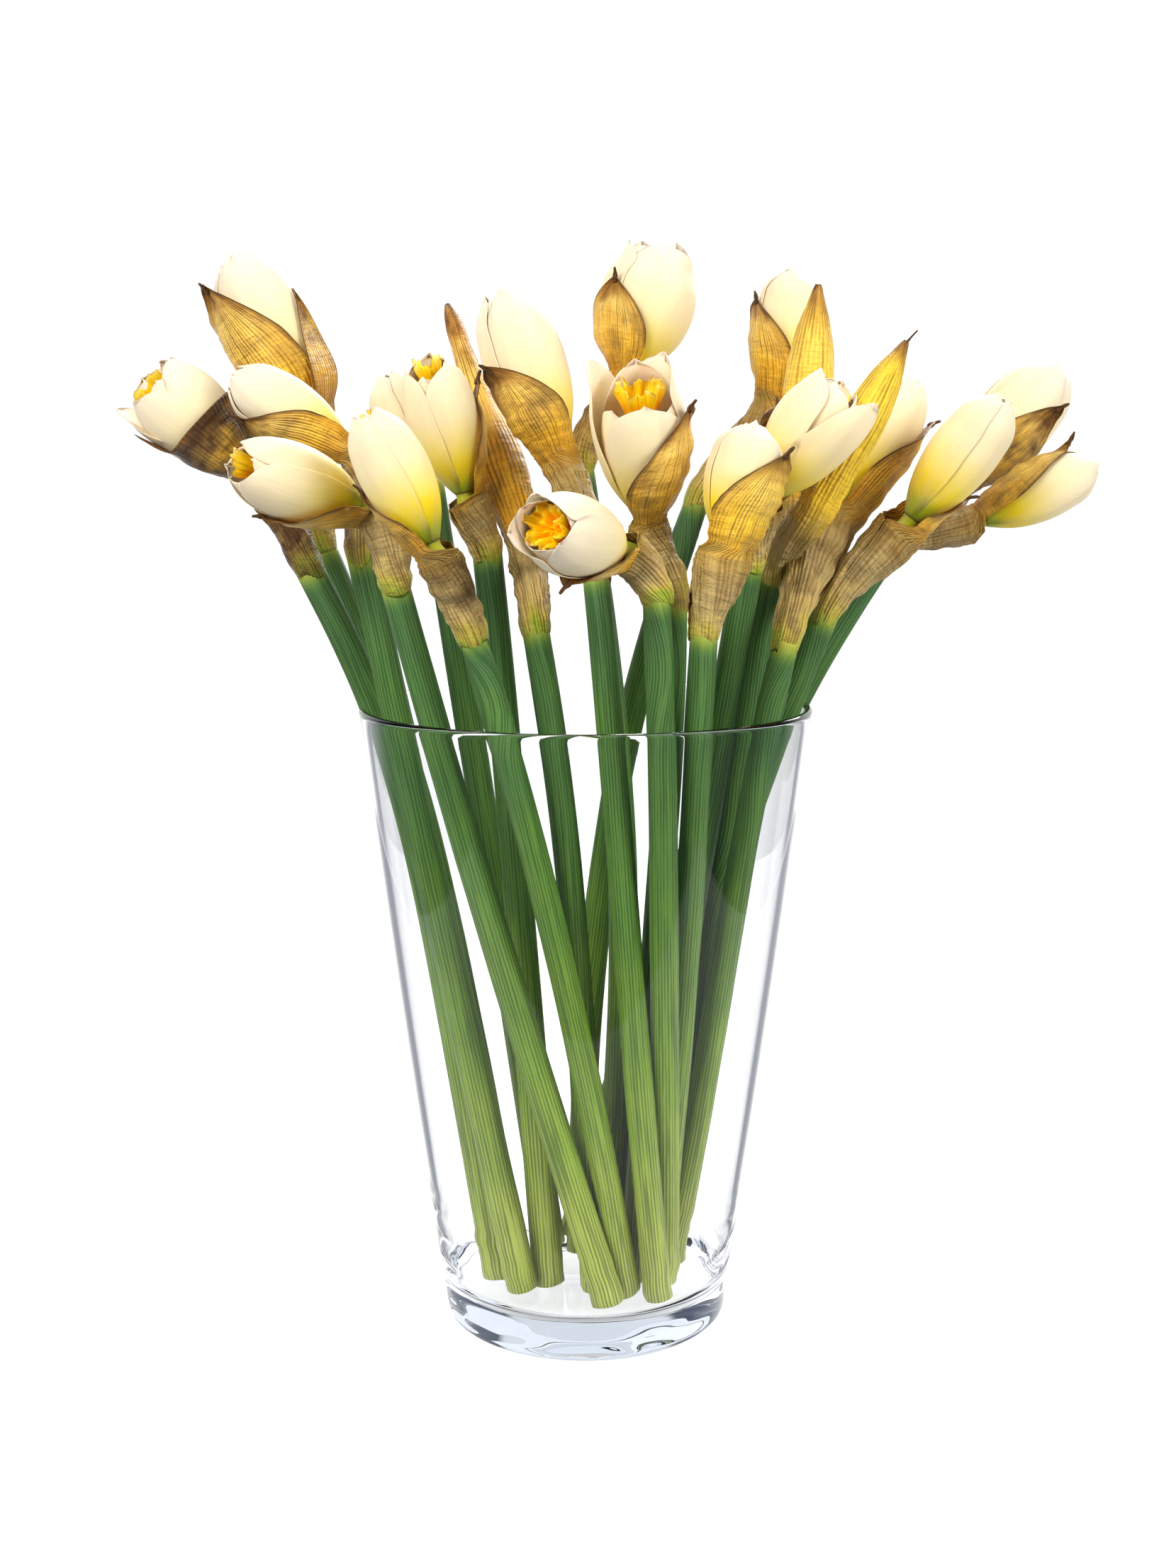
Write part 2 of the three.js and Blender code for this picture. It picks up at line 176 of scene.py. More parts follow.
# a closed skin of rings: each row of the grid is a ring, and a middle point closes either end
def ringPart(points, facts):
    rows, columns = points.shape[:2]

    def endMiddles(full):
        return full[[0, -1]].mean(axis=1)

    index = np.arange(rows * columns).reshape(rows, columns)
    index = np.concatenate([index, index[:, :1]], axis=1)
    corners = np.concatenate([points.reshape(-1, 3), endMiddles(points)])
    fans = []
    for row, pole in ((0, rows * columns), (-1, rows * columns + 1)):
        ring = index[row]
        pair = (ring[1:], ring[:-1]) if row == 0 else (ring[:-1], ring[1:])
        fans.append(np.stack([np.full(columns, pole), *pair], axis=1))
    faces = facingOut(corners, gridQuads(index), np.concatenate(fans))
    return (corners, *faces, vertexFacts(facts, points.shape, endMiddles))


# the attributes that a material may read: lay, the pattern's place in mm; grade, 0 to 1 along the
# piece; rim, 1 at a sheet's edge; below, mm down from a stem's top; age, how brown the paper is
oneNumber = ("FLOAT", "value")
attributeKinds = {"lay": ("FLOAT_VECTOR", "vector"), "grade": oneNumber, "rim": oneNumber,
                  "below": oneNumber, "age": oneNumber}


# joins parts into one object, in its place, that rides on the bunch and hides the CAD node that it takes the
# place of, where one is given
def addPiece(name, parts, material, node=None):
    corners, faces, start = [], [], 0
    for points, quads, fans, _ in parts:
        corners.append(points)
        faces += (quads + start).tolist() + (fans + start).tolist()
        start += len(points)
    mesh = bpy.data.meshes.new(name)
    mesh.from_pydata((np.concatenate(corners) * mm).tolist(), [], faces)
    for fact, (kind, field) in attributeKinds.items():
        if fact in parts[0][3]:
            values = np.concatenate([part[3][fact] for part in parts]).astype(np.float32)
            mesh.attributes.new(fact, kind, "POINT").data.foreach_set(field, values.ravel())
    mesh.materials.append(material)
    mesh.polygons.foreach_set("use_smooth", [True] * len(faces))
    mesh.update()
    piece = bpy.data.objects.new(name, mesh)
    bpy.context.scene.collection.objects.link(piece)
    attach(piece, "root")
    if node:
        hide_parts(node)


# materials

# sRGB hex to the linear colour that Blender works in
def colour(text):
    parts = [int(text[k:k + 2], 16) / 255 for k in (1, 3, 5)]
    linear = [c / 12.92 if c <= 0.04045 else ((c + 0.055) / 1.055) ** 2.4 for c in parts]
    return (*linear, 1)


# adds a node with its settings; inputs take a value, the socket to link from, or a node for its
# first socket
def addNode(tree, kind, settings=None, inputs=None):
    node = tree.nodes.new("ShaderNode" + kind)
    for name, value in (settings or {}).items():
        if name == "stops":
            ramp = node.color_ramp
            for _ in value[2:]:
                ramp.elements.new(0.5)
            for element, (place, shade) in zip(ramp.elements, value):
                element.position = place
                element.color = colour(shade) if isinstance(shade, str) else (shade, shade, shade, 1)
        else:
            setattr(node, name, value)
    for name, value in (inputs or {}).items():
        if isinstance(value, bpy.types.Node):
            value = value.outputs[0]
        if isinstance(value, bpy.types.NodeSocket):
            tree.links.new(value, node.inputs[name])
        else:
            node.inputs[name].default_value = value
    return node


# a material with nothing in it, and its nodes
def newMaterial(name):
    material = bpy.data.materials.new(name)
    material.use_nodes = True
    material.node_tree.nodes.clear()
    return material, material.node_tree


# settings that many nodes share; a Mix node's sockets are 0 for the share, 2 and 3 for numbers, and
# 6 and 7 for colours, and a MapRange takes 0 and 1 to 0 and 1 where it isn't told more
softStep = {"interpolation_type": "SMOOTHSTEP"}
mixNumbers = {"data_type": "FLOAT"}
mixColours = {"data_type": "RGBA"}
scaledAndMoved = {"operation": "MULTIPLY_ADD"}


# flower petals: thin living tissue, waxy-matte, lit through, with fine veins along it; clouds are
# counted to the millimetre, and stretch draws the pattern out along the petal
tepalLook = {
    "stops": [(0.0, "#7E9A2A"), (0.17, "#98AE16"), (0.28, "#B0B80E"), (0.335, "#E8C806"), (0.4, "#F8D020"),
              (0.48, "#F8D66C"), (0.62, "#F6DCA6"), (1.0, "#F5E2C4")],
    "shade": "#E0BE94", "veinGap": 0.9, "stretch": 0.12, "clouds": 0.22, "wobble": 0.07,
    "edgeFrom": 0.82, "edgeShade": 0.3, "patchShade": 0.35, "bump": 0.25,
}


def tepalMaterial(look):
    material, tree = newMaterial("creamTepalWaxyMatte")
    lay = addNode(tree, "Attribute", {"attribute_name": "lay"}).outputs["Vector"]
    grade = addNode(tree, "Attribute", {"attribute_name": "grade"}).outputs["Fac"]
    rim = addNode(tree, "Attribute", {"attribute_name": "rim"}).outputs["Fac"]
    long = addNode(tree, "Mapping", None, {"Vector": lay, "Scale": (1, look["stretch"], 1)}).outputs["Vector"]
    streaks = addNode(tree, "TexNoise", None,
                      {"Vector": long, "Scale": 1 / look["veinGap"], "Detail": 3, "Roughness": 0.6})
    clouds = addNode(tree, "TexNoise", None, {"Vector": long, "Scale": look["clouds"], "Detail": 2})
    wobble = addNode(tree, "Math", scaledAndMoved,
                     {0: streaks, 1: look["wobble"], 2: -look["wobble"] / 2})
    placed = addNode(tree, "Math", {"operation": "ADD"}, {0: grade, 1: wobble})
    base = addNode(tree, "ValToRGB", {"stops": look["stops"]}, {"Fac": placed})
    # towards each tepal's edge and tip the cream turns to the beige shade colour: partly the tissue's own
    # edge tone, partly painted shade where tepals overlap; the cloud patches are random tone
    edge = addNode(tree, "MapRange", softStep,
                   {"Value": rim, "From Min": look["edgeFrom"], "To Max": look["edgeShade"]})
    patch = addNode(tree, "MapRange", None,
                    {"Value": clouds, "From Min": 0.45, "From Max": 0.75, "To Max": look["patchShade"]})
    amount = addNode(tree, "Math", {"operation": "MAXIMUM"}, {0: edge, 1: patch})
    shaded = addNode(tree, "Mix", mixColours,
                     {0: amount, 6: base, 7: colour(look["shade"])})
    bump = addNode(tree, "Bump", None,
                   {"Height": streaks, "Strength": look["bump"], "Distance": 0.0004})
    shader = addNode(tree, "BsdfPrincipled", {"subsurface_method": "RANDOM_WALK"}, {
        "Base Color": shaded.outputs[2], "Normal": bump, "Roughness": 0.48, "IOR": 1.42,
        "Subsurface Weight": 0.5, "Subsurface Radius": (1.0, 0.95, 0.8), "Subsurface Scale": 0.002,
        "Sheen Weight": 0.12, "Sheen Roughness": 0.5})
    addNode(tree, "OutputMaterial", None, {"Surface": shader})
    return material


# the frilled cup inside the petals: thicker and wetter than they are, orange, with painted shade: deeper
# orange towards its foot and hollow middle, yellower on its frilled rim
coronaLook = {
    "stops": [(0.0, "#F28C00"), (0.4, "#FCA400"), (0.75, "#FFC208"), (1.0, "#FFD228")],
    "spots": 0.7, "spotShift": 0.7, "bump": 0.3,
}


def coronaMaterial(look):
    material, tree = newMaterial("coronaMoistOrange")
    lay = addNode(tree, "Attribute", {"attribute_name": "lay"}).outputs["Vector"]
    grade = addNode(tree, "Attribute", {"attribute_name": "grade"}).outputs["Fac"]
    spots = addNode(tree, "TexNoise", None, {"Vector": lay, "Scale": look["spots"], "Detail": 2})
    shift = addNode(tree, "Math", scaledAndMoved,
                    {0: spots, 1: look["spotShift"], 2: -look["spotShift"] / 2})
    placed = addNode(tree, "Math", {"operation": "ADD"}, {0: grade, 1: shift})
    base = addNode(tree, "ValToRGB", {"stops": look["stops"]}, {"Fac": placed})
    bump = addNode(tree, "Bump", None,
                   {"Height": spots, "Strength": look["bump"], "Distance": 0.0005})
    shader = addNode(tree, "BsdfPrincipled", None, {
        "Base Color": base, "Normal": bump, "Roughness": 0.38,
        "Subsurface Weight": 0.6, "Subsurface Radius": (1.0, 0.7, 0.2), "Subsurface Scale": 0.004})
    addNode(tree, "OutputMaterial", None, {"Surface": shader})
    return material


# the dry spathe: thin crackling paper, ribbed along, golden where light passes, brown where it is
# old; fibres, clouds and bands are counted to the millimetre
spatheLook = {
    "stops": [(0.0, "#A3B53A"), (0.05, "#CCB851"), (0.12, "#D0B46F"), (0.24, "#B29B66"), (0.42, "#A48747"),
              (0.51, "#D89E2B"), (0.62, "#FAC138"), (0.84, "#FFCF67"), (0.94, "#C3893D"), (1.0, "#5E3D22")],
    "vein": "#865D25", "gilt": "#F2CA39", "old": "#573B21", "litThrough": "#6E5630",
    "fibres": 0.8, "clouds": 0.12, "bands": 0.25, "alongStretch": 0.07, "acrossStretch": 0.3,
    "ribRelief": 0.14, "cloudShift": 0.3, "bandLight": 0.75, "lineShade": 0.62, "outwardShade": 0.36,
    "edgeFrom": 0.88, "edgeShade": 0.9, "blotch": 2.4, "blotchFrom": 1.3, "bump": 1.0,
}


def spatheMaterial(look):
    material, tree = newMaterial("drySpathePaper")
    lay = addNode(tree, "Attribute", {"attribute_name": "lay"}).outputs["Vector"]
    grade = addNode(tree, "Attribute", {"attribute_name": "grade"}).outputs["Fac"]
    rim = addNode(tree, "Attribute", {"attribute_name": "rim"}).outputs["Fac"]
    age = addNode(tree, "Attribute", {"attribute_name": "age"}).outputs["Fac"]

    # fibres and wrinkles, and a rib at each whole number across
    long = addNode(tree, "Mapping", None, {"Vector": lay, "Scale": (1, look["alongStretch"], 1)})
    wide = addNode(tree, "Mapping", None, {"Vector": lay, "Scale": (look["acrossStretch"], 1, 1)})
    fibre = addNode(tree, "TexNoise", None,
                    {"Vector": long, "Scale": look["fibres"], "Detail": 3, "Roughness": 0.6})
    wrinkles = addNode(tree, "TexNoise", None,
                       {"Vector": wide, "Scale": look["fibres"], "Detail": 3, "Roughness": 0.6})
    place = addNode(tree, "SeparateXYZ", None, {0: lay})
    turn = addNode(tree, "Math", {"operation": "MULTIPLY"}, {0: place.outputs["X"], 1: 2 * math.pi})
    wave = addNode(tree, "Math", {"operation": "COSINE"}, {0: turn})
    ribs = addNode(tree, "Math", scaledAndMoved,
                   {0: wave, 1: look["ribRelief"], 2: fibre})

    # colour up the sheath and hood, shifted by clouds, with bands that more light comes through
    clouds = addNode(tree, "TexNoise", None, {"Vector": lay, "Scale": look["clouds"], "Detail": 3})
    shift = addNode(tree, "Math", scaledAndMoved,
                    {0: clouds, 1: look["cloudShift"], 2: -look["cloudShift"] / 2})
    placed = addNode(tree, "Math", {"operation": "ADD"}, {0: grade, 1: shift})
    base = addNode(tree, "ValToRGB", {"stops": look["stops"]}, {"Fac": placed})
    bands = addNode(tree, "TexNoise", None, {"Vector": long, "Scale": look["bands"], "Detail": 2})
    light = addNode(tree, "MapRange", softStep,
                    {"Value": bands, "From Min": 0.5, "From Max": 0.64, "To Max": look["bandLight"]})
    lit = addNode(tree, "Mix", {"data_type": "RGBA", "blend_type": "SCREEN"},
                  {0: light, 6: base, 7: colour(look["litThrough"])})

    # a fresh spathe, whose age is below 0, is golden in the middle of its length
    fresh = addNode(tree, "MapRange", None, {"Value": age, "From Min": 0.0, "From Max": -1.0})
    high = addNode(tree, "MapRange", softStep, {"Value": grade, "From Min": 0.3, "From Max": 0.6})
    tipward = addNode(tree, "MapRange", softStep,
                      {"Value": grade, "From Min": 0.9, "From Max": 0.99, "To Min": 1.0, "To Max": 0.0})
    middle = addNode(tree, "Math", {"operation": "MULTIPLY"}, {0: high, 1: tipward})
    gilded = addNode(tree, "Math", {"operation": "MULTIPLY"}, {0: fresh, 1: middle})
    gilt = addNode(tree, "Mix", mixColours,
                   {0: gilded, 6: lit.outputs[2], 7: colour(look["gilt"])})

    # veins on the ribs, darker towards the edges
    line = addNode(tree, "MapRange", softStep,
                   {"Value": ribs, "From Min": 0.5, "From Max": 0.72, "To Max": look["lineShade"]})
    outward = addNode(tree, "MapRange", softStep,
                      {"Value": rim, "From Min": 0.5, "From Max": 0.95, "To Max": look["outwardShade"]})
    lines = addNode(tree, "Math", {"operation": "MAXIMUM"}, {0: line, 1: outward})
    veined = addNode(tree, "Mix", mixColours,
                     {0: lines, 6: gilt.outputs[2], 7: colour(look["vein"])})

    # brown along the edge, and in blotches that grow with age
    edge = addNode(tree, "MapRange", softStep,
                   {"Value": rim, "From Min": look["edgeFrom"], "To Max": look["edgeShade"]})
    blotch = addNode(tree, "Math", scaledAndMoved,
                     {0: clouds, 1: look["blotch"], 2: -look["blotchFrom"]})
    aged = addNode(tree, "Math", {"operation": "ADD", "use_clamp": True}, {0: age, 1: blotch})
    amount = addNode(tree, "Math", {"operation": "MAXIMUM"}, {0: edge, 1: aged})
    browned = addNode(tree, "Mix", mixColours,
                      {0: amount, 6: veined.outputs[2], 7: colour(look["old"])})

    relief = addNode(tree, "Math", {"operation": "ADD"}, {0: ribs, 1: wrinkles})
    bump = addNode(tree, "Bump", None,
                   {"Height": relief, "Strength": look["bump"], "Distance": 0.0012})
    shader = addNode(tree, "BsdfPrincipled", None, {
        "Base Color": browned.outputs[2], "Normal": bump, "Roughness": 0.42, "IOR": 1.5,
        "Subsurface Weight": 0.3, "Subsurface Radius": (1.0, 0.8, 0.5), "Subsurface Scale": 0.0007})
    addNode(tree, "OutputMaterial", None, {"Surface": shader})
    return material


# the green scape: firm and waxy, with fine ribs along it, paler towards the cut end and yellowed at
# the neck; stripes and clouds are counted to the millimetre
stemLook = {
    "stops": [(0.0, "#C4C668"), (0.12, "#B0BA50"), (0.33, "#8AA638"), (0.58, "#6A9038"), (0.8, "#567C42"),
              (1.0, "#4E724A")],
    "neck": [(0.0, "#B4B04A"), (0.4, "#A0B040"), (0.7, "#74983E"), (1.0, "#567C42")],
    "neckLength": 8.5, "neckFray": 0.5, "stripe": "#1F3A1A", "stripes": 0.9, "stretch": 0.03,
    "stripeShade": 0.6, "ribRelief": 0.14, "clouds": 0.05, "cloudShift": 0.3, "bump": 0.35,
}


def stemMaterial(look):
    material, tree = newMaterial("greenScapeWaxy")
    lay = addNode(tree, "Attribute", {"attribute_name": "lay"}).outputs["Vector"]
    grade = addNode(tree, "Attribute", {"attribute_name": "grade"}).outputs["Fac"]
    below = addNode(tree, "Attribute", {"attribute_name": "below"}).outputs["Fac"]
    long = addNode(tree, "Mapping", None, {"Vector": lay, "Scale": (1, look["stretch"], 1)}).outputs["Vector"]
    lines = addNode(tree, "TexNoise", None,
                    {"Vector": long, "Scale": look["stripes"], "Detail": 3, "Roughness": 0.6})
    place = addNode(tree, "SeparateXYZ", None, {0: lay})
    turn = addNode(tree, "Math", {"operation": "MULTIPLY"}, {0: place.outputs["X"], 1: 2 * math.pi})
    ridge = addNode(tree, "Math", {"operation": "COSINE"}, {0: turn})
    clouds = addNode(tree, "TexNoise", None, {"Vector": lay, "Scale": look["clouds"], "Detail": 3})
    shift = addNode(tree, "Math", scaledAndMoved,
                    {0: clouds, 1: look["cloudShift"], 2: -look["cloudShift"] / 2})
    placed = addNode(tree, "Math", {"operation": "ADD"}, {0: grade, 1: shift})
    base = addNode(tree, "ValToRGB", {"stops": look["stops"]}, {"Fac": placed})
    mixed = addNode(tree, "Math", scaledAndMoved,
                    {0: ridge, 1: look["ribRelief"], 2: lines})
    line = addNode(tree, "MapRange", softStep,
                   {"Value": mixed, "From Min": 0.42, "From Max": 0.62, "To Max": look["stripeShade"]})
    striped = addNode(tree, "Mix", mixColours,
                      {0: line, 6: base, 7: colour(look["stripe"])})
    down = addNode(tree, "Math", {"operation": "DIVIDE"}, {0: below, 1: look["neckLength"]})
    frayed = addNode(tree, "Math", scaledAndMoved,
                     {0: lines, 1: look["neckFray"], 2: -look["neckFray"] / 2})
    ragged = addNode(tree, "Math", {"operation": "ADD", "use_clamp": True},
                     {0: down, 1: frayed})
    neck = addNode(tree, "ValToRGB", {"stops": look["neck"]}, {"Fac": ragged})
    whole = addNode(tree, "Mix", mixColours,
                    {0: ragged, 6: neck, 7: striped.outputs[2]})
    bump = addNode(tree, "Bump", None,
                   {"Height": lines, "Strength": look["bump"], "Distance": 0.0004})
    shader = addNode(tree, "BsdfPrincipled", None, {
        "Base Color": whole.outputs[2], "Normal": bump, "Roughness": 0.42, "IOR": 1.45,
        "Subsurface Weight": 0.12, "Subsurface Radius": (0.4, 1.0, 0.2), "Subsurface Scale": 0.002})
    addNode(tree, "OutputMaterial", None, {"Surface": shader})
    return material


# blown soda-lime glass: clear, fire-polished, faintly blue where the path through it is long, with
# soft waves up to rippleTop that fade upwards; density is the tint's, for each metre
glassLook = {
    "tint": "#C4CEDC", "density": 13.0, "ior": 1.48, "shadow": "#F3F8F7",
    "ripple": 0.6, "rippleFrom": 0.004, "rippleTop": 0.054, "waves": 40.0, "flatten": 3,
}


def glassMaterial(look):
    material, tree = newMaterial("sodaLimeGlassPolished")
    place = addNode(tree, "TexCoord").outputs["Object"]
    height = addNode(tree, "SeparateXYZ", None, {0: place})
    low = addNode(tree, "MapRange", softStep,
                  {"Value": height.outputs["Z"], "From Min": look["rippleTop"],
                   "From Max": look["rippleFrom"], "To Max": look["ripple"]})
    flat = addNode(tree, "Mapping", None,
                   {"Vector": place, "Scale": (1, 1, look["flatten"])}).outputs["Vector"]
    waves = addNode(tree, "TexNoise", None, {"Vector": flat, "Scale": look["waves"], "Detail": 0})
    bump = addNode(tree, "Bump", None,
                   {"Height": waves, "Strength": low, "Distance": 0.004})
    glass = addNode(tree, "BsdfPrincipled", None, {
        "Base Color": (1, 1, 1, 1), "Normal": bump,
        "Transmission Weight": 1.0, "Roughness": 0.0, "IOR": look["ior"]})
    # light passes straight through it to what it shades
    clear = addNode(tree, "BsdfTransparent", None, {"Color": colour(look["shadow"])})
    path = addNode(tree, "LightPath")
    mixed = addNode(tree, "MixShader", None,
                    {0: path.outputs["Is Shadow Ray"], 1: glass, 2: clear})
    volume = addNode(tree, "VolumeAbsorption", None,
                     {"Color": colour(look["tint"]), "Density": look["density"]})
    addNode(tree, "OutputMaterial", None, {"Surface": mixed, "Volume": volume})
    return material


tepalCream = tepalMaterial(tepalLook)
coronaOrange = coronaMaterial(coronaLook)
spathePaper = spatheMaterial(spatheLook)
scapeGreen = stemMaterial(stemLook)
clearGlass = glassMaterial(glassLook)
print("materials made")


# vase

# hollow: how far the underside rises inside the ring that it stands on. rows: rings on each stretch
# of the profile. joinGap and lipGap: from the end of a round to the next stretch's first ring
vase = {
    "height": 200, "foot": 45.2, "middle": 59, "rim": 71.3, "wall": 2.6, "floor": 12,
    "edgeRound": 3.2, "cornerRound": 7, "hollow": 1.6, "footRing": 34, "columns": 160,
    "rows": {"flat": 14, "edge": 10, "wall": 50, "round": 12},
    "poleRadius": 0.5, "joinGap": 2, "lipGap": 1,
}


# outer radius at a height: a slow curve through the foot, middle and rim radii
def vaseOuterAt(z):
    t = z / vase["height"]
    bulge = 2 * (2 * vase["middle"] - vase["foot"] - vase["rim"])
    return vase["foot"] + (vase["rim"] - vase["foot"]) * t + bulge * t * (1 - t)


# points on a circle from one angle to another, in degrees
def arcPoints(x, y, radius, start, end, steps):
    turn = np.radians(np.linspace(start, end, steps))
    return np.stack([x + radius * np.cos(turn), y + radius * np.sin(turn)], axis=1)


# a profile from the underside's middle, up the outside, over the round lip and down to the floor's
# middle, as [radius, height], carried once round the axis
def vasePart():
    rows = vase["rows"]
    wall = vase["wall"]
    edgeRound = vase["edgeRound"]
    cornerRound = vase["cornerRound"]
    corner = vase["floor"] + cornerRound
    highest = vase["height"] - wall / 2 - vase["lipGap"]
    under = np.linspace(vase["poleRadius"], vase["footRing"], rows["flat"])
    dome = np.stack([under, vase["hollow"] * (1 - (under / vase["footRing"]) ** 2)], axis=1)
    edge = arcPoints(vaseOuterAt(edgeRound) - edgeRound, edgeRound, edgeRound, -90, 0, rows["edge"])
    up = np.linspace(edgeRound + vase["joinGap"], highest, rows["wall"])
    outside = np.stack([vaseOuterAt(up), up], axis=1)
    lip = arcPoints(vase["rim"] - wall / 2, vase["height"] - wall / 2, wall / 2, 0, 180, rows["round"])
    down = np.linspace(highest, corner + vase["joinGap"], rows["wall"])
    inside = np.stack([vaseOuterAt(down) - wall, down], axis=1)
    bend = arcPoints(vaseOuterAt(corner) - wall - cornerRound, corner, cornerRound, 0, -90, rows["round"])
    middle = np.linspace(bend[-1, 0] - vase["joinGap"], vase["poleRadius"], rows["flat"])
    floor = np.stack([middle, np.full_like(middle, vase["floor"])], axis=1)
    profile = np.concatenate([dome, edge, outside, lip, inside, bend, floor])
    turn = fullTurn(vase["columns"])
    radius, height = profile[:, :1], profile[:, 1:]
    points = np.stack([radius * np.cos(turn), radius * np.sin(turn), height + 0 * turn], axis=-1)
    return ringPart(points, {})


addPiece("vase_glass", [vasePart()], clearGlass, "vase")
print("vase made")


# stems

# wide and thin: half the stem's thickness either way. step: between its rings. foot and top: how much
# thicker and thinner it is there. tall: height at which it is greenest. apart: see patternPlace
stem = {
    "wide": 4.7, "thin": 4.2, "columns": 84, "step": 4.0, "ribs": 28, "ribHeight": 0.08,
    "capRound": 0.25, "capDepth": 0.3, "foot": 1.07, "top": 0.93, "uneven": 0.02, "unevenStep": 0.06,
    "tall": 260, "apart": 17.0,
}
stemCount = 21
ringCorners = 8  # of a CAD stem's cross-section
kinkPasses = 9  # a growing stem has no kinks


# middles of a CAD stem's rings, from its foot up, smoothed, and the wide way across each: the
# direction in which its corners spread most
def stemRings(node):
    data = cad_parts[node].data
    corners = np.zeros(len(data.vertices) * 3)
    data.vertices.foreach_get("co", corners)
    corners = np.unique(np.round(corners.reshape(-1, 3) / mm, 3), axis=0)
    corners = corners[np.argsort(corners[:, 2])].reshape(-1, ringCorners, 3)
    middles = corners.mean(axis=1)
    for _ in range(kinkPasses):
        middles[1:-1] = (middles[:-2] + 2 * middles[1:-1] + middles[2:]) / 4
    spread = corners - middles[:, None]
    ways = np.linalg.eigh(np.einsum("rki,rkj->rij", spread, spread))[1][:, :, 2]
    for k in range(1, len(ways)):
        ways[k] *= 1 if ways[k] @ ways[k - 1] > 0 else -1
    return middles, ways


# an oval with ribs and two soft edges, carried up the stem's line
def stemPart(middles, ways, seed):
    lengths = np.linalg.norm(np.diff(middles, axis=0), axis=1)
    knots = np.concatenate([[0], np.cumsum(lengths)])
    length = knots[-1]
    steps = np.linspace(0, length, int(length / stem["step"]))[1:-1]
    place = np.concatenate([[0, stem["capDepth"]], steps, [length - stem["capDepth"], length]])
    line = throughPoints(knots, middles, place)
    along = unit(np.gradient(line, place, axis=0))
    wideWay = squareTo(throughPoints(knots, ways, place), along)
    thinWay = np.cross(along, wideWay)
    turn = fullTurn(stem["columns"])
    rib = stem["ribHeight"] * np.cos(stem["ribs"] * turn)
    taper = stem["foot"] + (stem["top"] - stem["foot"]) * (place / length)[:, None]
    grow = taper + stem["uneven"] * crumple(place[:, None] * stem["unevenStep"], 0 * turn, seed)
    cut = np.zeros((len(place), 1))
    cut[[0, -1]] = stem["capRound"]
    x = (stem["wide"] * grow + rib - cut) * np.cos(turn)
    y = (stem["thin"] * grow + rib - cut) * np.sin(turn)
    points = offLine(line, wideWay, thinWay, x, y)
    ribNumber = turn * stem["ribs"] / (2 * math.pi)
    lay = patternPlace(x.shape, ribNumber, place[:, None], seed * stem["apart"])
    height = np.clip(points[..., 2] / stem["tall"], 0, 1)
    return ringPart(points, {"lay": lay, "grade": height, "below": (length - place)[:, None]})


stems = []
for number in range(1, stemCount + 1):
    name = f"stem_{number:02d}"
    stems.append(stemRings(name))
    addPiece(f"scape_{number:02d}", [stemPart(*stems[-1], number)], scapeGreen, name)
print("stems made")


# flowers

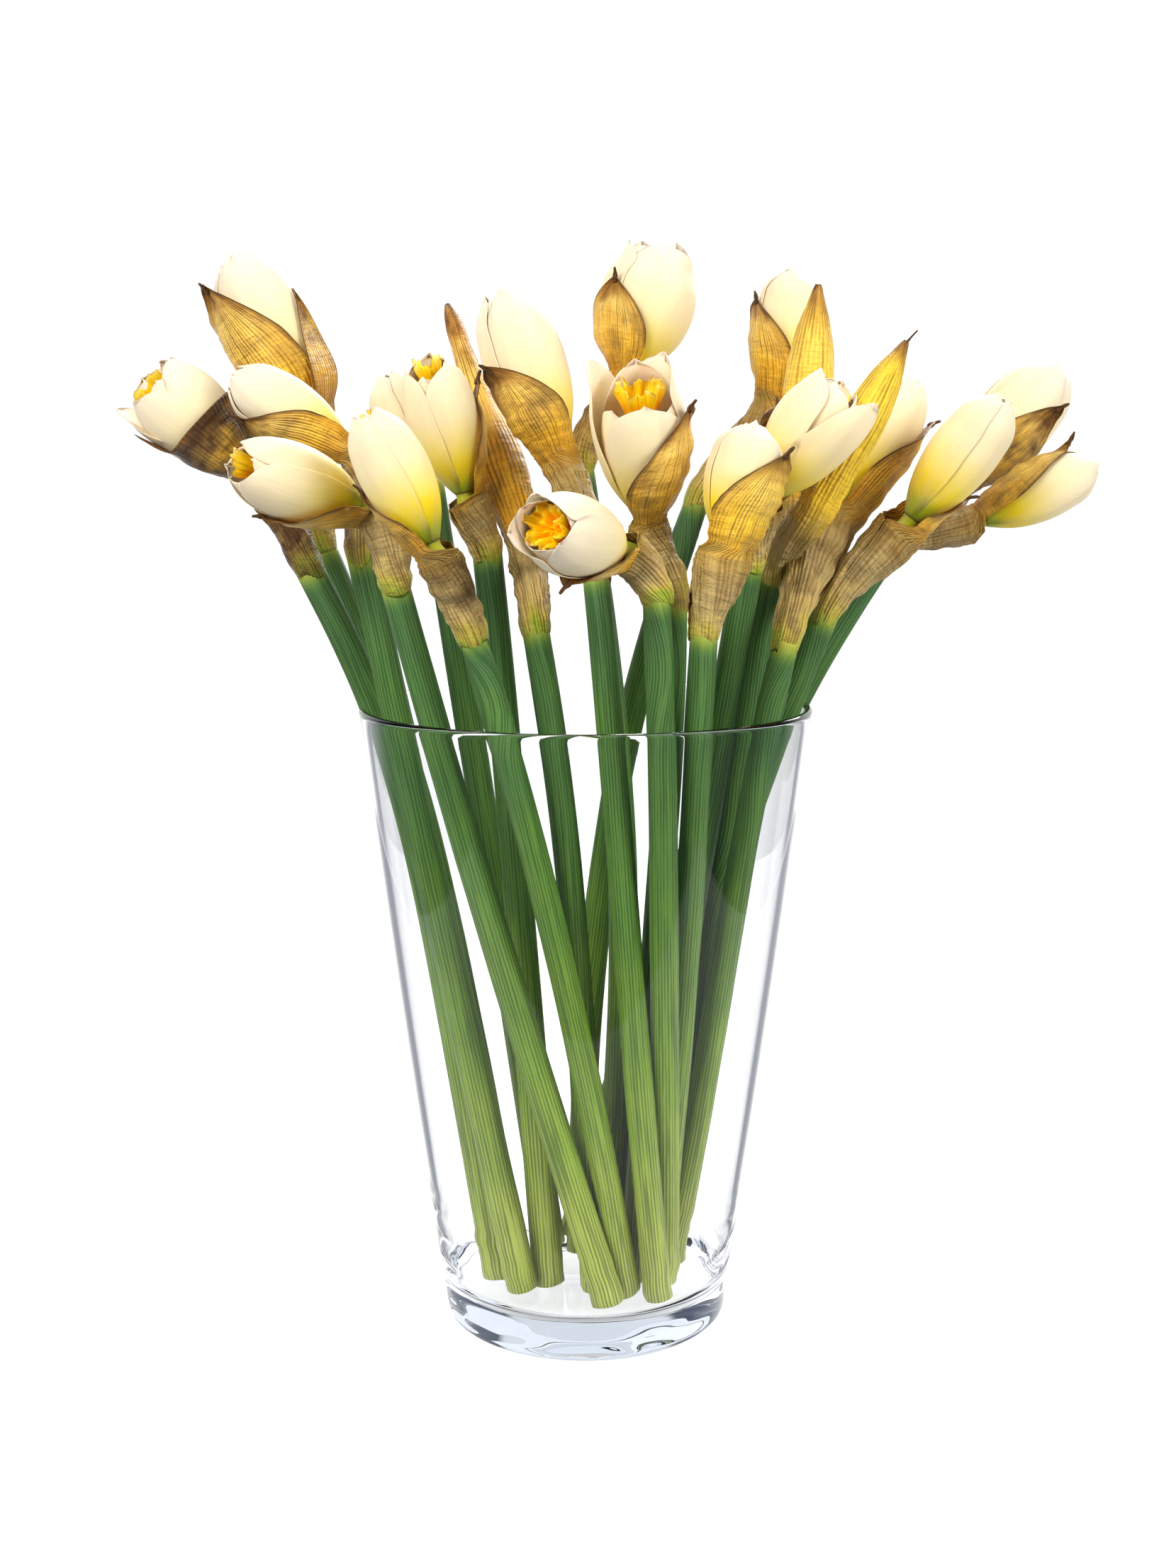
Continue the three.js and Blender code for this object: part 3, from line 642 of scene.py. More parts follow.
# One row for each flower, in mm, as on the frame. base and tip: lower end and top of the bloom.
# wide: its width. open: 0 a closed bud, 1 a wide mouth. side: the way the hood's back faces.
# reach and lift: how far the hood's point comes up the bloom, and how far off its axis.
# arc: half the hood's width round the bloom, in degrees. lobe: how far a torn hood's one side stands
# up. valve: a second blade's side, reach and half width. bag: how much the sheath swells. bare: no
# spathe is seen. closed: still wrapped; bud: its widths. nub, nubRadius and curl: the dry point.
# splay: a tepal that leans out, by its number and mm. lip: how much the front tepals are lowered.
# coronaTop and coronaWide: the corona's height and width, as shares. warm: more yellow up the
# tepals. age: how brown the spathe is; below 0 it is still golden.
flowers = [
    {"base": (-105, -5, 275), "tip": (-136.5, -4, 303), "wide": 26.5, "open": 0.75, "side": (0.3, -1, 0.05),
     "reach": 0.4, "lift": 15, "splay": (3, 7), "arc": 118, "lobe": 0.34, "lip": 0.16, "age": 0.95,
     "coronaTop": 0.87, "coronaWide": 0.85, "warm": -0.1},
    {"base": (-89, 25, 291), "tip": (-112, 30, 340), "wide": 28, "open": 0.25, "side": (-1, -0.8, -0.4),
     "reach": 0.9, "lift": 15, "age": 0.1, "valve": ((1, -0.6, 0.2), 0.66, 30), "warm": -0.05},
    {"base": (-72, -16, 280), "tip": (-106, -16, 301), "wide": 20, "open": 0.15, "side": (0.3, -0.4, -1),
     "reach": 0.78, "lift": 10.5, "nub": 5, "age": 0.3, "warm": -0.04},
    {"base": (-65, -40, 263), "tip": (-100, -56, 276), "wide": 22.5, "open": 0.36, "side": (0, 0.3, -1),
     "reach": 0.66, "lift": 12, "lip": 0.08, "age": 0.3, "coronaTop": 0.975, "coronaWide": 0.74, "warm": 0.1},
    {"base": (-43, -61, 252.5), "tip": (-61.5, -62, 289), "wide": 20.5, "open": 0.2,
     "side": (-1, 0.4, -0.6), "reach": 0.55, "lift": 11.5, "age": 0.3, "coronaTop": 0.955, "warm": 0.12},
    {"base": (-36.5, -18, 266), "tip": (-47.5, -23, 307), "wide": 21.5, "open": 0.4, "side": (1, 0.3, -0.2),
     "reach": 0.75, "lift": 13, "arc": 70, "lip": 0.1, "age": 0.0, "coronaTop": 0.935, "coronaWide": 0.84,
     "warm": 0.08},
    {"base": (-50, 24, 270), "tip": (-64, 26, 303), "wide": 20, "open": 0, "bare": True, "warm": 0.1},
    {"base": (-8.5, -10, 278), "tip": (-26, -4, 326.5), "wide": 25, "open": 0.2, "side": (-0.8, -1, -0.4),
     "reach": 0.58, "lift": 17.5, "age": 0.1},
    {"base": (-20, -9.5, 255.5), "tip": (-44, 27, 325), "wide": 15, "closed": True,
     "bud": (1.05, 0.6, 0.4, 0.32), "age": 0.05},
    {"base": (13, 10, 303), "tip": (24, 16, 341), "wide": 30, "open": 0.85, "side": (-0.9, -1, 0),
     "reach": 0.62, "lift": 17, "arc": 62, "age": 0.1, "warm": -0.03},
    {"base": (17.5, -40, 260.5), "tip": (15, -58, 303), "wide": 26, "open": 0.85, "side": (1, -0.5, 0),
     "reach": 0.77, "lift": 15.5, "splay": (2, 6), "lip": 0.2, "coronaTop": 0.84, "coronaWide": 0.7,
     "age": 0.0},
    {"base": (9.5, -67, 251.5), "tip": (-14, -98, 260), "wide": 22.5, "open": 0.85, "side": (0.1, 0.3, -1),
     "reach": 0.5, "lift": 13.5, "lip": 0.12, "age": 0.0, "coronaTop": 0.88, "coronaWide": 0.8,
     "warm": -0.1},
    {"base": (40, -58, 252.5), "tip": (48, -56, 286), "wide": 21.5, "open": 0, "side": (1, -0.8, -0.3),
     "reach": 0.82, "lift": 12.5, "bag": 0.28, "age": -0.25, "warm": 0.14},
    {"base": (54, -33, 266), "tip": (74, -36, 299), "wide": 24, "open": 0.6, "side": (-0.7, 0.7, 0.3),
     "reach": 0.6, "lift": 14.5, "splay": (2, 9), "age": 0.2, "warm": 0.05},
    {"base": (61.5, 35, 298), "tip": (68, 38, 337), "wide": 21, "open": 0, "side": (-1, -0.4, 0),
     "reach": 0.7, "lift": 12, "age": 0, "warm": 0.08},
    {"base": (67, 8.5, 267), "tip": (72.5, 12, 330), "wide": 15, "closed": True, "age": -0.5},
    {"base": (69.5, -23, 263), "tip": (95.5, -19, 311), "wide": 13, "closed": True, "age": -0.9, "nub": 6.5,
     "nubRadius": 0.55, "curl": (0.3, 0, 0.1)},
    {"base": (80.5, 8, 262), "tip": (103.5, 21, 301.5), "wide": 23, "open": 0.3, "side": (1, 0.1, -0.9),
     "reach": 0.85, "lift": 14, "bag": 0.35, "age": 0.1, "warm": 0.08},
    {"base": (100, -6, 258), "tip": (127, -12, 294.5), "wide": 21, "open": 0, "side": (0.5, 0.5, -1),
     "reach": 0.35, "lift": 12, "bag": 0.25, "age": 0.1, "warm": 0.14},
    {"base": (125, 46, 270), "tip": (158, 52, 306), "wide": 26, "open": 0.2, "side": (0.3, -1, -0.35),
     "reach": 0.75, "lift": 15.5, "arc": 55, "age": 0.5},
    {"base": (127, 20, 257), "tip": (165, 26, 274.5), "wide": 19, "open": 0, "side": (-0.3, -0.1, 1),
     "reach": 0.9, "lift": 11.5, "arc": 75, "age": 0.2, "warm": 0.08},
]

# width of a bloom at heights up it, both as shares; the last two widths make room for the mouth
bloomShape = {
    "at": [0.0, 0.04, 0.2, 0.45, 0.68, 0.87, 1.0], "wide": [0.24, 0.34, 0.71, 0.98, 0.98, 0.78],
    "closedMouth": 0.26, "mouthOpening": 0.56, "hoodedTop": 0.5,
}


# base, axis, hood side, cross direction and length of a bloom
def headFrame(flower):
    base = np.array(flower["base"], float)
    axis = np.array(flower["tip"], float) - base
    length = np.linalg.norm(axis)
    axis /= length
    side = squareTo(flower.get("side", (0, -1, 0)), axis)
    return base, axis, side, np.cross(axis, side), length


# points at a share of the bloom's length, off its axis by radius at an angle from the hood's side
def headPoints(head, share, radius, angle):
    base, axis, side, cross, length = head
    share, radius, angle = np.broadcast_arrays(share, radius, angle)
    return (base + (share * length)[..., None] * axis + (radius * np.cos(angle))[..., None] * side
            + (radius * np.sin(angle))[..., None] * cross)


# the line from the stem's top to the bloom's base: a cubic Bezier that leaves along the stem and
# arrives along the bloom's axis
def neckLine(stemTop, stemWay, head, t):
    base, axis = head[0], head[1]
    pull = np.linalg.norm(base - stemTop) / 3
    t = np.asarray(t)[..., None]
    return ((1 - t) ** 3 * stemTop + 3 * (1 - t) ** 2 * t * (stemTop + stemWay * pull)
            + 3 * (1 - t) * t ** 2 * (base - axis * pull) + t ** 3 * base)


# the mouth's width, as a share of the bloom's
def mouthShare(flower):
    return bloomShape["closedMouth"] + bloomShape["mouthOpening"] * flower["open"]


# how far the petals' outer face stands off the axis at a share of the bloom's length
def bloomRadius(flower, share):
    mouth = mouthShare(flower)
    *body, shoulder = bloomShape["wide"]
    widths = [*body, max(shoulder, mouth), mouth]
    return flower["wide"] / 2 * throughPoints(bloomShape["at"], widths, np.clip(share, 0, 1))


# Widths, drops and heights are shares of the bloom's. crowding: how much closer its rows lie towards
# the tip. uneven: how far a tepal may end off its height. lean: how far its tip may stand off.
# midGroove and sideGrooves: depth, place across and width; tipNotch and tipFray: depths.
tepals = {
    "rows": 44, "columns": 30, "crowding": 1.5, "thickness": 0.5, "outerWidth": 1.14, "innerWidth": 1.0,
    "footWidth": 0.3, "widestAt": 0.5, "tipPower": 2.7, "thinnestTip": 0.0004, "innerDrop": 0.035,
    "uneven": (-0.02, 0.005), "inset": 0.35, "innerStep": 1.25, "leastRadius": 1.2, "lean": 0.04,
    "splayNarrowing": 0.35, "mostTurn": 1.3, "lap": 0.35, "innerLap": 0.6, "wave": 0.3,
    "midGroove": (0.28, 0, 0.13), "sideGrooves": (0.16, 0.45, 0.12), "outerGrooves": 0.4,
    "innerGrooves": 0.2, "standOff": 0.1, "cornerDrop": 0.03, "tipNotch": 0.014, "notchWidth": 0.2,
    "tipFray": 0.008, "greenFoot": 0.4, "apart": 13.0, "apartEach": 3,
}


# One tepal: its middle line follows the bloom's width, and its half width in mm grows to the
# middle and closes in a round tip. It is wound round the axis by width over radius, and one
# edge stands out over the neighbour's.
def tepalPart(head, flower, number, seed):
    draw = np.random.default_rng(seed * 10 + number)
    length = head[4]
    radius = flower["wide"] / 2
    outer = number % 2 == 0
    splayed, splayBy = flower.get("splay", (None, 0))
    t = (1 - (1 - np.linspace(0, 1, tepals["rows"])) ** tepals["crowding"])[:, None]
    q = acrossSheet(tepals["columns"])
    middle = math.radians(60 * number + 60)
    facing = -(head[2] * math.cos(middle) + head[3] * math.sin(middle))[1]
    top = 1.0 - (0 if outer else tepals["innerDrop"]) + draw.uniform(*tepals["uneven"])
    top = top - flower.get("lip", 0) * ease(-0.1, 0.45, facing)
    share = t * top

    # half width
    foot = tepals["footWidth"]
    widest = tepals["widestAt"]
    grown = foot + (1 - foot) * np.sin(np.clip(t / widest, 0, 1) * math.pi / 2)
    past = np.clip((t - widest) / (1 - widest), 0, 1)
    closing = np.sqrt(np.clip(1 - past ** tepals["tipPower"], tepals["thinnestTip"], 1))
    halfWidth = radius * (tepals["outerWidth"] if outer else tepals["innerWidth"]) * grown * closing

    # how far it stands off the axis
    skin = bloomRadius(flower, share)
    step = 0 if outer else tepals["innerStep"] * ease(0, 0.2, share)
    out = np.maximum(skin - tepals["inset"] - step, tepals["leastRadius"])
    out = out + draw.uniform(-tepals["lean"], tepals["lean"]) * radius * share ** 3
    if splayed == number:
        out = out + splayBy * share ** 3
        halfWidth = halfWidth * (1 - tepals["splayNarrowing"] * ease(0.3, 1, share))
    angle = middle + q * np.minimum(halfWidth / out, tepals["mostTurn"])
    lap = tepals["lap"] if outer else tepals["lap"] * tepals["innerLap"]
    fade = ease(0.05, 0.35, share)
    groove = 0
    for depth, place, width in (tepals["midGroove"], tepals["sideGrooves"]):
        groove = groove - depth * bell(np.abs(q) - place, width)
    out = out + fade * (lap * q + groove * tepals["outerGrooves" if outer else "innerGrooves"])
    ruffle = tepals["wave"] * (0.5 + share ** 3) * fade * crumple(q * 3, share * 5, seed * 7 + number)
    out = out + ruffle * np.abs(q) ** 1.5
    if splayed != number:
        out = np.minimum(out, skin + tepals["standOff"])

    # a round tip with a small notch and a frayed end
    lower = tepals["cornerDrop"] * (1 - np.sqrt(np.clip(1 - q ** 2, 0, 1))) * t ** 4
    lower = lower - tepals["tipNotch"] * bell(q, tepals["notchWidth"]) * t ** 6
    lower = lower + tepals["tipFray"] * t ** 12 * crumple(q * 7, 0 * q, seed * 5 + number)
    points = headPoints(head, share - lower, out, angle)
    thickness = tepals["thickness"] * (1 - 0.5 * np.abs(q) ** 3) * (1 - 0.5 * t ** 4)
    lay = patternPlace(out.shape, q * halfWidth, share * length,
                       seed * tepals["apart"] + number * tepals["apartEach"])
    rim = np.maximum(np.abs(q), ease(0.93, 1.0, t))
    green = tepals["greenFoot"]
    grade = (share + green - flower.get("warm", 0)) / (1 + green)
    return sheetPart(points, thickness, {"lay": lay, "grade": grade, "rim": rim})


# at and widths: along the tube, up to the bloom's base; baseWidth and endWidth are shares of the
# bloom's, there and at past
ovary = {
    "rows": 30, "columns": 24, "past": 1.06, "at": [0, 0.3, 0.6, 0.85], "widths": [2.6, 2.8, 3.7, 3.2],
    "baseWidth": 0.24, "endWidth": 0.3, "green": 0.16, "yellower": 0.12, "apart": 5.0,
}


# the ovary and the tube above it: a ring of changing width carried from the stem's top to just
# inside the tepals
def ovaryPart(head, stemTop, stemWay, flower, seed):
    radius = flower["wide"] / 2
    past = ovary["past"]
    t = np.linspace(0, past, ovary["rows"])
    line = neckLine(stemTop, stemWay, head, np.minimum(t, 1))
    line = line + np.maximum(t - 1, 0)[:, None] * head[1] * head[4]
    along = unit(np.gradient(line, axis=0) + head[1] * 1e-6)
    side = squareTo(head[2], along)
    cross = np.cross(along, side)
    ends = [ovary["baseWidth"] * radius, ovary["endWidth"] * radius]
    widths = throughPoints([*ovary["at"], 1.0, past], [*ovary["widths"], *ends], t)[:, None]
    turn = fullTurn(ovary["columns"])
    points = offLine(line, side, cross, widths * np.cos(turn), widths * np.sin(turn))
    lay = patternPlace(points.shape[:2], turn * 3, t[:, None] * 20, seed * ovary["apart"])
    grade = ovary["green"] + ovary["yellower"] * ease(0.3, 1.0, t)
    return ringPart(points, {"lay": lay, "grade": grade[:, None], "rim": 0.0})


# top, tall, across and wide are shares of the bloom's; frills: waves round the rim and their depths
corona = {
    "rows": 24, "columns": 120, "top": 0.9, "tall": 0.3, "wide": 0.78, "foot": 0.35, "rim": 0.9,
    "middle": 0.05, "floorDepth": 0.5, "frills": ((6, 0.13, 1), (13, 0.09, 2), (29, 0.05, 1)),
    "frillWidth": 1.2, "bumps": 0.03, "rimBumps": 0.02, "deep": 0.36, "brighter": 0.5, "bumpShade": 6,
    "apart": 9.0,
}


# the corona: up the outside of a cup, over its frilled rim and in to a shallow crumpled middle
def coronaPart(head, flower, seed):
    rim = corona["rim"]
    up = np.linspace(0, 1, corona["rows"])
    c = np.concatenate([up, 1 - corona["floorDepth"] * up ** 0.6])[:, None]
    outside = corona["foot"] + (rim - corona["foot"]) * ease(0, 1, up) ** 0.7
    inside = corona["middle"] + (rim - corona["middle"]) * (1 - up ** 1.3)
    across = np.concatenate([outside, inside])[:, None]
    fold = np.concatenate([up ** 2.5, (1 - up) ** 0.5])[:, None]
    turn = fullTurn(corona["columns"])[None, :]
    waves = sum(depth * np.sin(count * turn + shift * seed) for count, depth, shift in corona["frills"])
    width = flower["wide"] / 2 * mouthShare(flower) * flower.get("coronaWide", corona["wide"])
    out = width * across * (1 + corona["frillWidth"] * (fold * waves))
    bumps = (corona["bumps"] * c * crumple(turn * 4, across * 9, seed)
             + corona["rimBumps"] * fold * np.sin(9 * turn + 3 * seed))
    lowest = flower.get("coronaTop", corona["top"]) - corona["tall"]
    points = headPoints(head, lowest + corona["tall"] * c + bumps, out, turn)
    lay = patternPlace(out.shape, turn * width, c * 12, seed * corona["apart"])
    # painted shade and light: the grade is lowest, deepest orange, at the foot and in the hollow middle,
    # highest on the frilled rim, and bumpShade makes raised bumps yellower and sunken ones deeper orange
    grade = corona["brighter"] * fold + corona["deep"] + corona["bumpShade"] * bumps
    return ringPart(points, {"lay": lay, "grade": grade, "rim": 0.0})


# tip: its width at the point, as a share of that at the start
nub = {"rows": 16, "columns": 14, "length": 4.0, "radius": 0.95, "bend": 0.25, "tip": 0.35,
       "knots": 0.15, "age": 0.6, "apart": 3.0}


# a short round taper along a bent line, for the dry point of a spathe
def nubPart(start, way, bend, flower, seed):
    length = flower.get("nub", nub["length"])
    radius = flower.get("nubRadius", nub["radius"])
    t = np.linspace(0, 1, nub["rows"])[:, None]
    line = start + way * length * t + bend * length * t ** 2
    along = unit(np.gradient(line, axis=0))
    side = squareTo(np.cross(way, bend + 1e-3), along)
    cross = np.cross(along, side)
    turn = fullTurn(nub["columns"])
    taper = nub["tip"] + (1 - nub["tip"]) * (1 - t) ** 0.8
    width = radius * taper * (1 + nub["knots"] * np.sin(9 * t + seed))
    points = offLine(line, side, cross, width * np.cos(turn), width * np.sin(turn))
    lay = patternPlace(points.shape[:2], turn, t * length, seed * nub["apart"])
    return ringPart(points, {"lay": lay, "grade": 1.0, "rim": 1.0, "age": nub["age"]})


# Places along the paper run from -1 at the stem's top through 0 at the bloom's base to 1 at the point,
# with radii in mm at sheathAt. sink: how far it starts below the stem's top. budAt and bud: a wrapped
# bud's widths. hoodAt, hoodTo and hoodGap: heights on the bloom where the hood's radius is set.
# clearance and looseness: room round the bloom, at the point and more at its base. halfArc and wrap:
# degrees. closedSmooth and closedCreases, openCreases: how much less a hood is wrinkled and creased.
# pleatCount: once round. pleatLean: how far they turn for each mm up it. rippleStep: radians for each
# mm, rippleDepth and pinch: the waist's own folds and how far in it is drawn, as shares of waist.
spathes = {
    "rowsBelow": 34, "rowsAbove": 46, "columns": 60, "paper": 0.3, "sink": 3.0,
    "sheathAt": [-1, -0.93, -0.75, -0.5, -0.25, 0],
    "sheath": [3.9, 4.5, 4.85, 5.4, 6.0, 6.4], "budSheath": [3.9, 4.5, 4.8, 5.3, 5.8, 6.1],
    "budAt": [0.3, 0.55, 0.8, 0.93, 1], "bud": (0.96, 1, 0.66, 0.3), "budPoint": 0.12,
    "hoodAt": (0.2, 0.45, 0.68, 0.87), "hoodTo": 0.86, "hoodGap": 0.05,
    "clearance": 0.85, "looseness": 1.3, "free": 0.55,
    "halfArc": 100, "wrap": 187, "openFrom": -0.16, "tornNarrowing": 0.15, "leastEdge": 0.35,
    "lap": 0.35, "twist": 0.8, "pleats": 0.3, "pleatCount": 7, "pleatLean": 0.18, "wrinkle": 0.24,
    "closedSmooth": 0.8, "crease": 0.5, "creaseLevel": 0.6, "closedCreases": 0.9, "openCreases": 0.6,
    "waist": 0.5, "waistAt": -0.08, "waistLength": 0.16, "rippleStep": 3.3, "rippleDepth": 0.35,
    "pinch": 0.5, "curl": 0.5,
    "fray": 2.2, "lobeAt": -0.92, "lobeWidth": 0.2, "tornEdge": 0.6, "ribs": 16, "apart": 11.0,
}


# places along the paper and its radius at each: a sheath, then a wrapped bud's own widths or the
# bloom's with some room
def spatheRadii(flower):
    at = spathes["sheathAt"]
    half = flower["wide"] / 2
    if flower.get("closed"):
        bud = (*flower.get("bud", spathes["bud"]), spathes["budPoint"])
        return [*at, *spathes["budAt"]], [*spathes["budSheath"], *(share * half for share in bud)]
    reach = flower["reach"]
    highest = spathes["hoodTo"] * reach
    levels = [k for k in spathes["hoodAt"] if k < highest - spathes["hoodGap"]] + [highest]
    inside = throughPoints(bloomShape["at"], [*bloomShape["wide"], bloomShape["hoodedTop"]], levels)
    room = [spathes["clearance"] + spathes["looseness"] * (1 - k / reach) for k in levels]
    hood = [share * half + gap for share, gap in zip(inside, room)]
    return [*at, *(k / reach for k in levels), 1], [*spathes["sheath"], *hood, flower["lift"]]


# half the arc that the paper covers, in degrees: wound right round, or opened at the bloom's base into
# a hood that narrows by the square of the way up
def spatheArc(flower, s):
    if flower.get("closed"):
        return np.full(s.shape, spathes["wrap"])
    arc = flower.get("arc", spathes["halfArc"])
    narrowing = spathes["tornNarrowing"] if "lobe" in flower else 1
    hood = arc * (1 - narrowing * np.clip(s, 0, 1) ** 2)
    return hood + (spathes["wrap"] - arc) * (1 - ease(spathes["openFrom"], 0, s))


# the radius with the folds of dry paper: long pleats, short wrinkles, creases where a slow wave
# changes sign, and a pinched and rippled waist under the bloom
def foldedRadius(out, s, angle, distance, low, closed, seed):
    begun = ease(-1, -0.8, s)
    sway = 2 * crumple(angle, distance * 0.1, seed)
    pleat = np.sin(spathes["pleatCount"] * angle + spathes["pleatLean"] * distance + sway)
    out = out + spathes["pleats"] * ease(-1, -0.7, s)[:, None] * (0.25 + low) * pleat
    smooth = (1 - ease(0, 0.5, s) * (spathes["closedSmooth"] if closed else 0))[:, None]
    wrinkle = crumple(angle * 2, distance * 0.7, seed + 1)
    out = out + spathes["wrinkle"] * smooth * begun[:, None] * wrinkle
    crease = np.abs(crumple(angle * 2.4, distance * 0.33, seed + 4, 4))
    fewer = spathes["closedCreases" if closed else "openCreases"] * ease(-0.2, 0.4, s)
    out = out + spathes["crease"] * (begun * (1 - fewer))[:, None] * (spathes["creaseLevel"] - crease)
    waist = bell(s - spathes["waistAt"], spathes["waistLength"])[:, None]
    ripple = spathes["rippleDepth"] * np.sin(distance * spathes["rippleStep"] + 2 * np.sin(angle * 2))
    return out + waist * spathes["waist"] * (ripple - spathes["pinch"])


# One sheet of paper: its radius and arc, carried along the neck's line and the bloom's axis, with its
# edges lapped below and curled out above. A torn one ends in a lobe, and any other in a dry point.
def spathePart(head, stemTop, stemWay, flower, seed):
    length = head[4]
    closed = flower.get("closed", False)
    reach = 1.0 if closed else flower["reach"]
    below = np.linspace(-1, 0, spathes["rowsBelow"], endpoint=False)
    s = np.concatenate([below, np.linspace(0, 1, spathes["rowsAbove"])])
    q = acrossSheet(spathes["columns"])
    line = neckLine(stemTop - spathes["sink"] * stemWay, stemWay, head, np.clip(s + 1, 0, 1))
    line = line + (np.maximum(s, 0) * reach * length)[:, None] * head[1]
    along = unit(np.gradient(line, axis=0))
    side = squareTo(head[2], along)
    cross = np.cross(along, side)
    distance = np.concatenate([[0], np.cumsum(np.linalg.norm(np.diff(line, axis=0), axis=1))])[:, None]

    bag = 1 + flower.get("bag", 0) * ease(-0.9, -0.2, s) * (1 - ease(0, 0.35, s))
    out = (throughPoints(*spatheRadii(flower), s) * bag)[:, None]
    half = np.maximum(np.radians(spatheArc(flower, s))[:, None], spathes["leastEdge"] / out)
    low = 1 - ease(-0.1, 0.35, s)[:, None]
    angle = q * half + spathes["twist"] * np.clip(-s, 0, 1)[:, None]
    out = out + spathes["lap"] * q * low
    out = foldedRadius(out, s, angle, distance, low, closed, seed)
    if not closed:
        curl = ease(0.55, 1.0, np.abs(q)) * ease(0.0, 0.4, s)[:, None]
        out = out + curl * spathes["curl"] * (1 + crumple(distance * 0.3, q, seed + 2))
        held = bloomRadius(flower, s * reach)[:, None] + spathes["free"]
        out = np.where(s[:, None] > 0, np.maximum(out, held), out)
    points = offLine(line, side, cross, out * np.cos(angle), out * np.sin(angle))

    frayed = 0.5 + 0.5 * crumple(q * 9, 0 * q, seed + 5)
    slip = -spathes["fray"] * (1 - ease(-1, -0.8, s))[:, None] * frayed
    if "lobe" in flower:
        torn = flower["lobe"] * length * bell(q - spathes["lobeAt"], spathes["lobeWidth"])
        torn = torn + spathes["tornEdge"] * crumple(q * 7, 0 * q, seed + 6)
        slip = slip + np.clip(s, 0, 1)[:, None] ** 2 * torn
    points = points + slip[..., None] * along[:, None]
    lay = patternPlace(out.shape, q * spathes["ribs"], distance, seed * spathes["apart"])
    grade = ((s + 1) / 2)[:, None]
    rim = np.abs(q) * (1 - low * 0.6)
    facts = {"lay": lay, "grade": grade, "rim": rim, "age": flower["age"]}
    parts = [sheetPart(points, spathes["paper"], facts)]
    if "lobe" not in flower:
        way = unit(points[-1].mean(axis=0) - points[-6].mean(axis=0))
        bend = np.array(flower.get("curl", unit(head[2]) * nub["bend"]), float)
        parts.append(nubPart(points[-4].mean(axis=0), way, bend, flower, seed))
    return parts


# from: where it starts, as the spathe's places. bulge, bulgeAt and bulgeLength: how it stands off
valve = {
    "rows": 46, "columns": 26, "from": -0.35, "room": 0.9, "bulge": 4.5, "bulgeAt": 0.12,
    "bulgeLength": 0.3, "leastEdge": 0.3, "wave": 0.35, "curl": 0.8, "ribs": 5, "browner": 0.25,
    "apart": 7.0,
}


# Where a spathe has split, its second valve: a narrow blade on another side of the bloom, which
# stands off it most near the base, and leans in to its point.
def valvePart(head, flower, seed):
    way, reach, arc = flower["valve"]
    side = squareTo(way, head[1])
    other = (head[0], head[1], side, np.cross(head[1], side), head[4])
    s = np.linspace(valve["from"], 1, valve["rows"])[:, None]
    q = acrossSheet(valve["columns"])
    share = s * reach
    bulge = valve["bulge"] * bell(s - valve["bulgeAt"], valve["bulgeLength"])
    out = bloomRadius(flower, share) + valve["room"] + bulge
    out = np.where(s < 0, np.maximum(out, spathes["sheath"][-1]), out)
    narrowing = 1 - np.clip(s, 0, 1) ** 1.5
    angle = q * np.maximum(math.radians(arc) * narrowing, valve["leastEdge"] / out)
    wave = valve["wave"] * crumple(angle * 5, s * 6, seed + 8)
    out = out + wave + valve["curl"] * np.abs(q) ** 3
    points = headPoints(other, share, out, angle)
    lay = patternPlace(out.shape, q * valve["ribs"], share * head[4], seed * valve["apart"])
    grade = 0.5 + 0.5 * np.clip(s, 0, 1)
    return sheetPart(points, spathes["paper"], {
        "lay": lay, "grade": grade, "rim": np.abs(q), "age": flower["age"] + valve["browner"]})


coronaFrom = 0.2  # how open a bloom is when its corona shows

for number, flower in enumerate(flowers, 1):
    head = headFrame(flower)
    middles, _ = stems[number - 1]
    neck = (head, middles[-1], unit(middles[-1] - middles[-2]))
    if not flower.get("bare"):
        parts = spathePart(*neck, flower, number)
        if "valve" in flower:
            parts.append(valvePart(head, flower, number))
        addPiece(f"spathe_paper_{number:02d}", parts, spathePaper, f"spathe_{number:02d}")
    if flower.get("closed"):
        continue
    parts = [tepalPart(head, flower, k, number) for k in range(6)]
    parts.append(ovaryPart(*neck, flower, number))
    addPiece(f"tepals_{number:02d}", parts, tepalCream, f"bloom_{number:02d}")
    if flower["open"] >= coronaFrom:
        addPiece(f"corona_{number:02d}", [coronaPart(head, flower, number)], coronaOrange)
print("flowers made")


# floor, light and camera

# A white table whose front edge is just below the picture, as the glass mirrors it; beyond it is dark.
# shade: its own grey. glow: as the camera sees it. bounce: as light on dull surfaces. mirrored and
# behind: as the glass shows it in front and behind, where it turns white from fadeFrom to fadeTo.
# aside: how far to the side it stays white before it narrows. All places are in metres.
floorSheet = {
    "side": 0.4, "front": -0.235, "back": 0.7, "shade": 0.15, "glow": 0.96, "bounce": 0.5,
    "mirrored": 0.06, "behind": 1.2, "fadeFrom": -0.08, "fadeTo": 0.03, "aside": 0.06,
}
# how far to the side, for each metre behind the vase, the white starts to fade and is gone
whiteEdges = (0.34, 0.47)
# where it starts again and is full, for a ray that has come through both walls
againEdges = (0.7, 0.85)
leastBehind = 0.03  # of a metre, so that the slant has a limit beside the vase
# what a ray through the glass finds at the least, to the sides
sideBlue = {"colour": "#8A98C4", "level": 0.3}
# a wall has two faces, so a ray right through both walls has passed four, and through one wall two
bothWallsPassed = 3.5
oneWallPassed = 1.5
# a ray that the glass has never mirrored counts one bounce more than the faces it has passed
neverMirrored = 1.5


